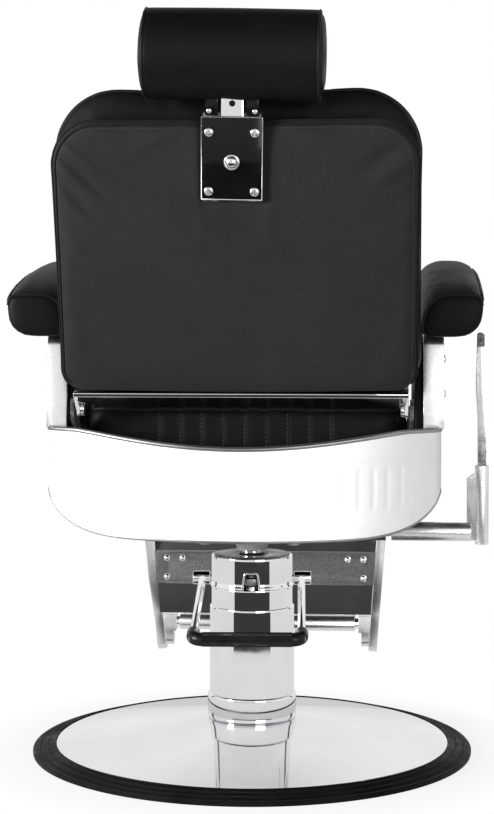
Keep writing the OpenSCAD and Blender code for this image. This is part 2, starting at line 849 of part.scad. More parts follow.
// Side plate of the seat frame with its lower lug for the lever and lightening holes
module frame_side() {
    x0 = frame_half_w - frame_t;
    color([0.16, 0.16, 0.17])
    difference() {
        union() {
            side_plate(x0, frame_half_w)
                polygon([[-frame_front_y, frame_z], [0, frame_z],
                         [frame_rear_y / 2.4, frame_step_z],
                         [frame_rear_y, frame_step_z], [frame_rear_y, frame_top_z],
                         [-frame_front_y, frame_top_z]]);
            translate([frame_half_w, -frame_front_y, frame_top_z - frame_t])
                cube([4 * frame_t, frame_front_y + frame_rear_y, frame_t]);
            x_rod(2.5 * lever_shaft_r, x0, frame_half_w, lever_y, lever_z + 4);
        }
        x_rod(leg_pin_r + seat_gap, x0 - cut, frame_half_w + cut, -leg_pivot_y, leg_pivot_z);
        x_rod(lever_shaft_r + pass_gap, x0 - cut, frame_half_w + cut, lever_y, lever_z);
        for (k = [1 : 4])
            x_rod(frame_h / 5, x0 - cut, frame_half_w + cut,
                -frame_front_y + k * (frame_front_y + frame_rear_y) / 6.6,
                frame_z + 0.58 * frame_h);
    }
}

module frame_side_left() { frame_side(); }

module frame_side_right() { mirror([1, 0, 0]) frame_side(); }

// Two pressed channels that carry the board, the pan and the arms
module cross_channels() {
    color([0.16, 0.16, 0.17])
    for (y = [front_channel_y, rear_channel_y])
        translate([-channel_half_w, y - channel_w / 2, frame_top_z])
        difference() {
            cube([2 * channel_half_w, channel_w, channel_h]);
            translate([-cut, frame_t, -cut])
                cube([2 * channel_half_w + 2 * cut, channel_w - 2 * frame_t,
                      channel_h - frame_t + cut]);
        }
}

// Plan of the pan, inset from its outer face
module pan_plan(inset) {
    steps = 28;
    a = pan_half_w - inset;
    rb = max(2, pan_back_corner_r - inset);
    rf = max(2, pan_front_corner_r - inset);
    side_r = pan_side_r - inset;
    // Centre of the rounded back corner, inside the arc and the side
    cx = a - rb;
    cy = pan_back_y - pan_side_r + sqrt(pow(side_r - rb, 2) - cx * cx);
    lean = asin(cx / (side_r - rb));
    arc = [for (k = [0 : steps])
        let (t = -lean + 2 * lean * k / steps)
        [side_r * sin(t), pan_back_y - pan_side_r + side_r * cos(t)]];
    corner_steps = 6;
    right = [for (k = [1 : corner_steps])
        let (t = lean + (90 - lean) * k / corner_steps)
        [cx + rb * sin(t), cy + rb * cos(t)]];
    front = [for (k = [0 : corner_steps])
        let (t = 90 * k / corner_steps)
        [a - rf + rf * cos(t), -pan_front_y + inset + rf - rf * sin(t)]];
    half = concat(right, front);
    mirrored = [for (k = [len(half) - 1 : -1 : 0]) [-half[k][0], half[k][1]]];
    polygon(concat(arc, half, mirrored));
}

// Height of the pan's lower edge at a distance from the middle
function pan_low_z(x) =
    let (t = max(0, abs(x) - pan_half_w + pan_corner_w) / pan_corner_w)
    pan_z + pan_corner_h * (1 - sqrt(max(0, 1 - pow(min(1, t), 3.2))))
        + pan_sag * pow(min(abs(x), pan_half_w) / pan_half_w, 2);

// Elevation of the pan from the back: dipped upper edge, lower edge rising to the sides
module pan_elevation() {
    steps = 16;
    a = pan_half_w + cut;
    dip_half = pan_half_w - 45;
    top = [for (k = [-steps : steps])
        [dip_half * k / steps, pan_top_z - pan_dip * pow(1 - pow(k / steps, 2), 1.3)]];
    low = [for (k = [0 : steps])
        let (x = pan_half_w * sin(90 * k / steps)) [x, pan_low_z(x)]];
    polygon(concat(
        top, [[a, pan_top_z], [a, pan_low_z(a)]],
        [for (k = [steps : -1 : 0]) low[k]],
        [for (k = [1 : steps]) [-low[k][0], low[k][1]]],
        [[-a, pan_low_z(a)], [-a, pan_top_z]]));
}

module seat_pan() {
    flute_span = (flute_count - 1) / 2;
    color([0.9, 0.91, 0.92])
    difference() {
        intersection() {
            difference() {
                translate([0, 0, pan_z]) linear_extrude(pan_h) pan_plan(0);
                translate([0, 0, pan_z - cut]) linear_extrude(pan_h + 2 * cut)
                    pan_plan(pan_wall);
            }
            translate([0, pan_back_y + 20, 0]) rotate([90, 0, 0])
                linear_extrude(pan_back_y + pan_front_y + 40) pan_elevation();
        }
        // Open front between the rolled corners, for the cushion, the frame and the legrest
        translate([-pan_mouth_half, -pan_front_y - cut, pan_z - cut])
            cube([2 * pan_mouth_half, pan_front_corner_r, pan_h + 2 * cut]);
        for (k = [-flute_span : flute_span]) {
            x = k * flute_pitch;
            turn = asin(x / pan_side_r);
            r = pan_side_r + flute_r - flute_depth;
            translate([r * sin(turn), pan_back_y - pan_side_r + r * cos(turn),
                       flute_mid_z - flute_h / 2 + 10 * pow(x / pan_half_w, 2)])
                cylinder(r = flute_r, h = flute_h, $fn = 32);
        }
    }
}

module seat_board() {
    half = cushion_half_w - 6;
    color([0.55, 0.42, 0.28])
    translate([-half, -cushion_front_y + 10, board_z])
        cube([2 * half, cushion_front_y + cushion_back_y - 20, board_t]);
}

module seat_cushion() {
    color([0.08, 0.08, 0.085])
    translate([0, cushion_mid_y, seat_board_top_z])
        cushion(cushion_half_w, cushion_half_l, cushion_side_h, cushion_crown,
            30, 40, 56, 9, 5, seam_count);
}

// ---------------------------------------------------------------- arms

// Outline of an arm frame in side view; inset shrinks it to the frame's window
module arm_outline(leg_inset, bar_inset, low) {
    back = arm_back_y - leg_inset;
    front = arm_front_y + leg_inset;
    lean = 14;
    r = leg_inset > 0 ? 14 : 30;
    r_back = leg_inset > 0 ? 14 : 8;
    top = [for (k = [0 : 10])
        let (y = back - r_back - lean * 0.8
                 + (front + r - back + r_back + lean * 0.8) * k / 10)
        [y, arm_top(y) - bar_inset]];
    polygon(concat(
        [[back + 2, low], [back - lean * 0.8, arm_top(back) - bar_inset - r_back],
         [back - lean * 0.8 - 0.3 * r_back, arm_top(back) - bar_inset - 0.35 * r_back]],
        top,
        [[front + 0.3 * r, arm_top(front) - bar_inset - 0.3 * r],
         [front, arm_top(front) - bar_inset - r], [front + 10, low]]));
}

module arm_frame() {
    color([0.75, 0.76, 0.78]) {
        side_plate(arm_inner_x, arm_outer_x)
            difference() {
                arm_outline(0, 0, pan_top_z);
                arm_outline(arm_leg_w, arm_bar_h, pan_top_z - cut);
            }
        // Feet inside the pan, standing on the cross channels
        for (y = [front_channel_y, rear_channel_y])
            translate([arm_inner_x, y - channel_w / 2, channel_top_z])
                cube([arm_foot_x - arm_inner_x, channel_w, pan_top_z - channel_top_z]);
        // Rail that joins the legs along the pan's edge
        translate([arm_inner_x, arm_front_y + 20, pan_top_z - 14])
            cube([arm_foot_x - arm_inner_x, arm_back_y - arm_front_y - 36, 14]);
    }
}

module arm_frame_left() { arm_frame(); }

module arm_frame_right() { mirror([1, 0, 0]) arm_frame(); }

module side_panel() {
    color([0.07, 0.07, 0.075])
    side_plate(arm_inner_x - side_panel_t, arm_inner_x)
        arm_outline(14, 8, channel_top_z + 2);
}

module side_panel_left() { side_panel(); }

module side_panel_right() { mirror([1, 0, 0]) side_panel(); }

module arm_boards() {
    ys = [for (k = [0 : 12]) arm_back_y - 26 - (arm_back_y - arm_front_y - 56) * k / 12];
    color([0.12, 0.12, 0.12])
    both_sides()
    side_plate(arm_inner_x + arm_board_inset, armrest_half_w - 2.5 * arm_board_t)
        polygon(concat(
            [for (y = ys) [y, arm_top(y) + pass_gap / 2]],
            [for (k = [12 : -1 : 0]) [ys[k], arm_top(ys[k]) + arm_board_t]]));
}

// A padded armrest: a rounded section swept along the drooping arm, closed at both ends
module armrest() {
    ring_n = 20;
    stations = 14;
    mid_x = (armrest_in_x + armrest_half_w) / 2;
    half_w = armrest_w / 2;
    function place(k) = -1 + 2 * k / stations;
    function swell(s) = pow(1 - pow(abs(s), 6), 0.4);
    function at_y(s) =
        armrest_back_y + (armrest_front_y - armrest_back_y) * (s + 1) / 2;
    function section(s, i) =
        let (t = 360 * i / ring_n, f = max(0.35, swell(s)), y = at_y(s),
             cx = cos(t), cz = sin(t),
             rx = half_w * f, h = armrest_h * (0.55 + 0.45 * f),
             px = rx * sign(cx) * pow(abs(cx), 0.7),
             pz = (sign(cz) * pow(abs(cz), 0.8) + 1) / 2)
        [mid_x + px, y, arm_top(y) + arm_board_t + pass_gap + h * pz];
    pts = concat(
        [for (k = [0 : stations]) for (i = [0 : ring_n - 1]) section(place(k), i)],
        [[mid_x, armrest_back_y, arm_top(armrest_back_y) + arm_board_t + armrest_h * 0.35],
         [mid_x, armrest_front_y, arm_top(armrest_front_y) + arm_board_t + armrest_h * 0.35]]);
    last = stations * ring_n;
    tip = (stations + 1) * ring_n;
    skin = [for (k = [0 : stations - 1]) for (i = [0 : ring_n - 1]) for (half = [0, 1])
        let (j = (i + 1) % ring_n, a = k * ring_n, b = a + ring_n)
        half == 0 ? [a + i, b + j, a + j] : [a + i, b + i, b + j]];
    ends = concat(
        [for (i = [0 : ring_n - 1]) [i, (i + 1) % ring_n, tip]],
        [for (i = [0 : ring_n - 1]) [last + (i + 1) % ring_n, last + i, tip + 1]]);
    color([0.08, 0.08, 0.085])
        polyhedron(points = pts, faces = concat(skin, ends), convexity = 3);
}

module armrest_left() { armrest(); }

module armrest_right() { mirror([1, 0, 0]) armrest(); }

// ---------------------------------------------------------------- backrest

module hinge_brackets() {
    x1 = bracket_x + bracket_t;
    foot_y = rear_channel_y - channel_w / 2;
    color([0.3, 0.3, 0.31])
    both_sides()
    difference() {
        side_plate(bracket_x, x1)
            polygon([[foot_y, channel_top_z], [foot_y + channel_w, channel_top_z],
                     [foot_y + channel_w, pan_top_z - 10],
                     [hinge_y + 15, hinge_z - 12], [hinge_y + 15, hinge_z + 8],
                     [hinge_y + 8, hinge_z + 15], [hinge_y - 8, hinge_z + 15],
                     [hinge_y - 15, hinge_z + 8], [foot_y, channel_top_z + 30]]);
        x_rod(hinge_pin_r + seat_gap, bracket_x - cut, x1 + cut, hinge_y, hinge_z);
    }
}

module hinge_pins() {
    ear_in_x = hinge_bar_half_w - hinge_bar_t;
    color([0.7, 0.7, 0.72])
    both_sides() {
        x_rod(hinge_pin_r, ear_in_x - 1, bracket_x + bracket_t, hinge_y, hinge_z);
        x_rod(hinge_pin_r + 4, ear_in_x - 5, ear_in_x - pass_gap, hinge_y, hinge_z);
    }
}

module hinge_bar() {
    color([0.8, 0.81, 0.83])
    on_back()
    difference() {
        union() {
            translate([-hinge_bar_half_w, bar_front_t, bar_h])
                cube([2 * hinge_bar_half_w, bar_back_t - bar_front_t, hinge_bar_t]);
            both_sides() {
                side_plate(hinge_bar_half_w - hinge_bar_t, hinge_bar_half_w)
                    polygon([[bar_front_t, bar_h + hinge_bar_t], [-ear_r, 0], [ear_r, 0],
                             [bar_back_t, bar_h + hinge_bar_t]]);
                x_rod(ear_r, hinge_bar_half_w - hinge_bar_t, hinge_bar_half_w, 0, 0);
            }
        }
        x_rod(hinge_pin_r + run_gap, -hinge_bar_half_w - cut, hinge_bar_half_w + cut, 0, 0);
    }
}

module bar_bolts() {
    color([0.7, 0.7, 0.72])
    on_back() both_sides()
    translate([bar_bolt_x, (bar_front_t + bar_back_t) / 2, 0])
        z_rod(bar_bolt_r, bar_h - 5, bar_h);
}

module back_board() {
    color([0.55, 0.42, 0.28])
    on_back() translate([0, back_board_t, 0]) rotate([90, 0, 0]) linear_extrude(back_board_t)
        rounded_outline(back_half_w - 10, back_low_h, panel_top_h - 3,
            back_top_r - 8, back_low_r - 4);
}

module back_cushion() {
    color([0.08, 0.08, 0.085])
    on_back() translate([0, 0, back_mid_h]) rotate([90, 0, 0])
        cushion(back_half_w, back_half_h, back_side_t, back_crown,
            back_top_r, back_low_r, 50, 10, 4, seam_count);
}

// Rear panel with a rolled edge
module back_panel() {
    edge = 6;
    color([0.07, 0.07, 0.075])
    on_back() rotate([90, 0, 0]) {
        translate([0, 0, -back_rear_t + edge]) linear_extrude(back_panel_t - edge)
            rounded_outline(back_half_w - 2, back_low_h, panel_top_h, back_top_r, back_low_r);
        translate([0, 0, -back_rear_t]) linear_extrude(edge)
            rounded_outline(back_half_w - 7, back_low_h + 5, panel_top_h - 5,
                back_top_r - 5, back_low_r - 5);
    }
}

// ---------------------------------------------------------------- headrest

// A block on the backrest between two places across, through and up it
module back_block(x0, x1, t0, t1, h0, h1) {
    translate([x0, t0, h0]) cube([x1 - x0, t1 - t0, h1 - h0]);
}

module guide_bracket() {
    low = lock_mid_h - lock_plate_h / 2 + 2;
    high = lock_mid_h + lock_plate_h / 2 + 8;
    half = lock_plate_w / 2 - 3;
    slot = slide_w / 2 + slide_gap;
    color([0.12, 0.12, 0.13])
    on_back() {
        back_block(-half, half, back_rear_t, back_rear_t + guide_t, low, high);
        both_sides()
        difference() {
            back_block(slot, half, back_rear_t + guide_t, plate_front_t, low, high);
            for (h = [-screw_half_h, screw_half_h])
                translate([screw_half_x, 0, lock_mid_h + h]) rotate([-90, 0, 0])
                    cylinder(r = 2 + seat_gap, h = plate_front_t + cut);
        }
    }
}

module lock_plate() {
    color([0.03, 0.03, 0.035])
    on_back()
    difference() {
        back_block(-lock_plate_w / 2, lock_plate_w / 2, plate_front_t, plate_back_t,
            lock_mid_h - lock_plate_h / 2, lock_mid_h + lock_plate_h / 2);
        for (x = [-1, 1], h = [-1, 1])
            translate([x * screw_half_x, 0, lock_mid_h + h * screw_half_h])
                rotate([-90, 0, 0]) cylinder(r = 2 + seat_gap, h = plate_back_t + cut);
    }
}

module lock_screws() {
    color([0.8, 0.8, 0.82])
    on_back()
    for (x = [-1, 1], h = [-1, 1])
        translate([x * screw_half_x, 0, lock_mid_h + h * screw_half_h]) rotate([-90, 0, 0]) {
            z_rod(2, back_rear_t + guide_t, plate_back_t);
            translate([0, 0, plate_back_t]) cylinder(r1 = screw_head_r, r2 = screw_head_r - 2,
                h = screw_head_h);
        }
}

module button_bezel() {
    color([0.75, 0.75, 0.77])
    on_back() translate([0, plate_back_t, lock_mid_h]) rotate([-90, 0, 0])
    difference() {
        cylinder(r1 = button_r + 3.5, r2 = button_r + 2.5, h = bezel_t);
        translate([0, 0, -cut]) cylinder(r = button_r + run_gap, h = bezel_t + 2 * cut);
    }
}

module release_button() {
    color([0.7, 0.7, 0.72])
    on_back() translate([0, plate_back_t + button_travel + pass_gap, lock_mid_h])
        rotate([-90, 0, 0])
        rotate_extrude()
            polygon([[0, 0], [button_r, 0], [button_r, bezel_t - 1],
                     [button_r - 1, bezel_t + 0.6], [button_r - 4, bezel_t + 1.8],
                     [0, bezel_t + 2.2]]);
}

// Slide bar with its row of latch holes
module slide_bar() {
    hole_pitch = 16;
    color([0.78, 0.79, 0.8])
    on_back()
    difference() {
        back_block(-slide_w / 2, slide_w / 2, slide_front_t, slide_back_t,
            slide_low_h, slide_top_h);
        for (h = [0 : hole_pitch : headrest_travel])
            translate([0, slide_front_t - cut, slide_low_h + 12 + h]) rotate([-90, 0, 0])
                cylinder(r = 4.5, h = slide_t + 2 * cut);
    }
}

// Saddle under the roll that takes the slide bar
module headrest_bracket() {
    low = roll_h - roll_r - 6;
    half = lock_plate_w / 2 - 6;
    color([0.12, 0.12, 0.13])
    on_back()
    difference() {
        back_block(-half, half, slide_back_t + seat_gap, slide_back_t + 3.1, low, roll_h - 44);
        rotate([0, 90, 0]) translate([-roll_h, roll_t, -half - cut])
            cylinder(r = roll_r + seat_gap, h = 2 * half + 2 * cut);
    }
}

module headrest_roll() {
    bulge = 5;
    round_r = 14;
    color([0.08, 0.08, 0.085])
    on_back()
    difference() {
        translate([0, roll_t, roll_h]) rotate([0, 90, 0])
            rotate_extrude($fn = 96)
                polygon(concat(
                    [[0, -roll_half_l - bulge]],
                    [for (k = [0 : 6]) let (t = 90 * k / 6)
                        [roll_r - round_r + round_r * sin(t),
                         -roll_half_l + round_r - round_r * cos(t)]],
                    [for (k = [6 : -1 : 0]) let (t = 90 * k / 6)
                        [roll_r - round_r + round_r * sin(t),
                         roll_half_l - round_r + round_r * cos(t)]],
                    [[0, roll_half_l + bulge]]));
        back_block(-slide_w / 2 - seat_gap, slide_w / 2 + seat_gap,
            slide_front_t - seat_gap, slide_back_t + seat_gap,
            roll_h - roll_r - cut, slide_top_h + seat_gap);
    }
}

// ---------------------------------------------------------------- recline lever

module lever_bearing() {
    x0 = frame_half_w;
    x1 = x0 + 2 * lever_shaft_r;
    color([0.35, 0.35, 0.36])
    mirror([1, 0, 0])
    difference() {
        x_rod(1.75 * lever_shaft_r, x0, x1, lever_y, lever_z);
        x_rod(lever_shaft_r + run_gap, x0 - cut, x1 + cut, lever_y, lever_z);
    }
}

module lever_shaft() {
    color([0.75, 0.76, 0.77])
    mirror([1, 0, 0])
    difference() {
        union() {
            x_rod(lever_shaft_r, lever_end_x, lever_tube_in_x, lever_y, lever_z);
            x_rod(lever_tube_r, lever_tube_in_x, lever_x - socket_r - 6, lever_y, lever_z);
            side_plate(lever_end_x, lever_end_x + lever_shaft_r)
                polygon([[-cam_r, lever_z - cam_r], [cam_r, lever_z - cam_r],
                         [0.8 * cam_r, lever_z + 3 * cam_r],
                         [-0.8 * cam_r, lever_z + 3 * cam_r]]);
        }
        translate([-lever_x, lever_y, socket_low_z]) cylinder(r = socket_r, h = 1);
    }
}

module lever_socket() {
    web_d = 12;
    root_x = lever_x - socket_r - 6;
    color([0.75, 0.76, 0.77])
    mirror([1, 0, 0])
    difference() {
        union() {
            translate([lever_x, lever_y, 0]) z_rod(socket_r, socket_low_z, socket_top_z);
            translate([0, lever_y + web_d / 2, 0]) rotate([90, 0, 0]) linear_extrude(web_d)
                polygon([[root_x, lever_z - 12], [lever_x, lever_z - 12],
                         [lever_x, socket_top_z - 4], [gusset_x, socket_top_z - 20],
                         [gusset_x, lever_z + lever_tube_r + 0.5],
                         [root_x, lever_z + lever_tube_r + 0.5]]);
        }
        translate([lever_x, lever_y, 0])
            z_rod(lever_bar_w / 2 + seat_gap, socket_top_z - 30, socket_top_z + cut);
    }
}

module lever_bar() {
    half = lever_bar_w / 2;
    bend_z = socket_top_z + 70;
    step = 3;
    color([0.75, 0.76, 0.77])
    mirror([1, 0, 0])
    translate([lever_x, lever_y, 0]) {
        z_rod(half, socket_top_z - 30, socket_top_z + 1);
        translate([0, lever_bar_d / 2, 0]) rotate([90, 0, 0]) linear_extrude(lever_bar_d)
            polygon([[-half, socket_top_z + 0.2], [half, socket_top_z + 0.2],
                     [half, bend_z], [half - step, bend_z + 50], [half - step, lever_tip_z - 3],
                     [half - step - 3, lever_tip_z], [-half + 1, lever_tip_z],
                     [-half - 1, lever_tip_z - 3], [-half - step, bend_z + 50],
                     [-half, bend_z]]);
    }
}

// ---------------------------------------------------------------- legrest

module leg_pins() {
    color([0.7, 0.7, 0.72])
    both_sides() {
        x_rod(leg_pin_r, frame_half_w - frame_t, leg_top_half_w + 4, -leg_pivot_y, leg_pivot_z);
        x_rod(leg_pin_r + 4, frame_half_w - frame_t - 5, frame_half_w - frame_t,
            -leg_pivot_y, leg_pivot_z);
    }
}

// One side arm in its own plane: Y and Z as in the chair
module leg_arm_outline() {
    polygon([
        [-leg_pivot_y + leg_pivot_r, leg_pivot_z], [-leg_pivot_y + 14, leg_pivot_z - 30],
        [-leg_knee_y + 18, leg_knee_z + 40], [-leg_knee_y + 15, leg_knee_z],
        [-foot_y + 30, foot_z + 20], [-foot_y + 20, foot_z],
        [-foot_y + 14, leg_low_z + 10], [-foot_y + 8, leg_low_z],
        [-foot_y - 8, leg_low_z], [-foot_y - 14, leg_low_z + 10], [-foot_y - 20, foot_z],
        [-foot_y - 14, foot_z + 16], [-leg_knee_y - 22, leg_knee_z],
        [-leg_knee_y - 18, leg_knee_z + 40], [-leg_pivot_y - 16, leg_pivot_z]]);
    translate([-leg_pivot_y, leg_pivot_z]) circle(r = leg_pivot_r);
}

module leg_arms() {
    color([0.72, 0.73, 0.75])
    both_sides()
    difference() {
        union() {
            translate([leg_foot_half_w, 0, leg_low_z]) rotate([0, leg_lean, 0])
                translate([0, 0, -leg_low_z]) side_plate(-leg_arm_t, 0) leg_arm_outline();
            // Bearing block that takes the foot tube, with a rounded tab under it
            translate([foot_inner_x - block_w, -foot_y - block_half, foot_z - block_half])
                cube([block_w + 6, 2 * block_half, 2 * block_half]);
            translate([foot_inner_x - block_w + 5, -foot_y - tab_r, foot_z - block_half - 14])
                cube([block_w, 2 * tab_r, 15]);
            x_rod(tab_r, foot_inner_x - block_w + 5, foot_inner_x + 4,
                -foot_y, foot_z - block_half - 14);
        }
        x_rod(leg_pin_r + run_gap, frame_half_w, leg_top_half_w + 20, -leg_pivot_y, leg_pivot_z);
        x_rod(foot_tube_r + seat_gap, 0, foot_inner_x, -foot_y, foot_z);
    }
}

// Pressed cross channel between the arms that holds the calf board
module leg_channel() {
    low = leg_channel_z;
    high = leg_channel_z + leg_channel_h;
    sheet = 3;
    color([0.22, 0.22, 0.23])
    translate([0, -calf_y + sheet, 0]) rotate([90, 0, 0])
    difference() {
        linear_extrude(sheet)
            polygon([[-leg_inner_x(low), low], [leg_inner_x(low), low],
                     [leg_inner_x(high), high], [-leg_inner_x(high), high]]);
        for (x = [-1, 1], z = [low + 11, high - 12])
            translate([x * (leg_inner_x(low) - 18), z, -cut])
                cylinder(r = leg_bolt_r + seat_gap, h = sheet + 2 * cut);
    }
}

module calf_pad() {
    half = leg_inner_x(calf_low_z) - pass_gap;
    half_h = (calf_top_z - calf_low_z) / 2;
    color([0.08, 0.08, 0.085])
    translate([0, -calf_y, (calf_low_z + calf_top_z) / 2]) rotate([90, 0, 0])
        cushion(half, half_h, calf_board_t, calf_pad_t, 20, 20, 20, 8, 3);
}

module foot_tube() {
    color([0.82, 0.83, 0.85])
        x_rod(foot_tube_r, -foot_inner_x, foot_inner_x, -foot_y, foot_z);
}

// Cast footplate with its sleeve on the foot tube and ribs on its tread
module footplate() {
    hub_r = foot_tube_r + 4;
    plate_t0 = 10;
    color([0.6, 0.61, 0.62])
    difference() {
        union() {
            translate([-footplate_half_w, -foot_y - footplate_l, foot_z - plate_t0 / 2])
                cube([2 * footplate_half_w, footplate_l - foot_tube_r - 2, plate_t0]);
            x_rod(hub_r, -footplate_half_w, footplate_half_w, -foot_y, foot_z);
            for (k = [0 : 5])
                translate([-footplate_half_w + 12, -foot_y - footplate_l + 12 + 18 * k,
                           foot_z + plate_t0 / 2])
                    cube([2 * footplate_half_w - 24, 6, 2.5]);
        }
        x_rod(foot_tube_r + run_gap, -footplate_half_w - cut, footplate_half_w + cut,
            -foot_y, foot_z);
    }
}

base_ring();
base_dome();
floor_plate();
pump_flange();
flange_bolts();
column_collar();
column_tube();
column_cap();
rod_seal();
pump_cylinder();
plunger_spring();
pump_plunger();
piston_head();
piston_rod();
pedal_shafts();
pedal_frame();
pedal_grip();
pump_yoke();
seat_hub();
hub_bolts();
frame_floor();
frame_side_left();
frame_side_right();
cross_channels();
seat_pan();
seat_board();
seat_cushion();
arm_frame_left();
arm_frame_right();
side_panel_left();
side_panel_right();
arm_boards();
armrest_left();
armrest_right();
hinge_brackets();
hinge_pins();
hinge_bar();
bar_bolts();
back_board();
back_cushion();
back_panel();
guide_bracket();
lock_plate();
lock_screws();
button_bezel();
release_button();
slide_bar();
headrest_bracket();
headrest_roll();
lever_bearing();
lever_shaft();
lever_socket();
lever_bar();
leg_pins();
leg_arms();
leg_channel();
calf_pad();
foot_tube();
footplate();
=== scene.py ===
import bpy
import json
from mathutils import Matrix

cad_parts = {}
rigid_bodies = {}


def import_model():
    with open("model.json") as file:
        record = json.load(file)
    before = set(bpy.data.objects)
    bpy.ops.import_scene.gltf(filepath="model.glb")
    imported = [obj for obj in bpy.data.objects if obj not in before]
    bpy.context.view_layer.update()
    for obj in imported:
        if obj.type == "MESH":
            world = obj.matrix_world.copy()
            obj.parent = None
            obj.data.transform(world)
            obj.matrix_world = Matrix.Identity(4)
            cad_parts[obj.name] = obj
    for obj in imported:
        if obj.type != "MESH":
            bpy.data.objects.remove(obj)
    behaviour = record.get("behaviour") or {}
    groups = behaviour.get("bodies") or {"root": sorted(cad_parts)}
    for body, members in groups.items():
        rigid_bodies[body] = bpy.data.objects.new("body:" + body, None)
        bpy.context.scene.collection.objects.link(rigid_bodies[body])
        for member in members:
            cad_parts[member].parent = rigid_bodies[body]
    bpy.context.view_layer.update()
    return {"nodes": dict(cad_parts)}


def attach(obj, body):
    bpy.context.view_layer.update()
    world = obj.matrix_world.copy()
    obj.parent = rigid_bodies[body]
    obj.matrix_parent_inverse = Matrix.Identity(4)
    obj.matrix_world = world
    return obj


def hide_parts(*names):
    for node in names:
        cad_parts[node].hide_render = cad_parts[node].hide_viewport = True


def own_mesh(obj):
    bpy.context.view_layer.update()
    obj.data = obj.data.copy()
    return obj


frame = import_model()

# Hydraulic barber chair, dressed for looks. Z is up, the sitter faces -Y and the sizes
# in the classes are millimetres; the meshes are metres.

import json
import logging
from contextlib import contextmanager
from dataclasses import dataclass
from enum import Enum
from math import asin, cos, degrees, pi, radians, sin, sqrt, tau
from typing import Callable, Iterator, Sequence

import bmesh
import bpy
import numpy as np
from mathutils import Matrix, Vector
from mathutils.bvhtree import BVHTree

LOG = logging.getLogger("barber_chair")
MM = 0.001
CLOTH_FRAMES = 20
MIRROR = Matrix.Diagonal((-1, 1, 1, 1))

Point = tuple[float, float, float]
Flat = tuple[float, float]
Colour = tuple[float, float, float]
Piece = bpy.types.Object
Node = bpy.types.Node
Socket = bpy.types.NodeSocket
Tree = bpy.types.NodeTree


class Axis(Enum):
    """The axis that an outline is extruded along."""

    X = 0
    Y = 1
    Z = 2


class Side(Enum):
    """Which of two mirrored pieces is made, as the sign of its X."""

    LEFT = 1
    RIGHT = -1


# ---------- the workbench


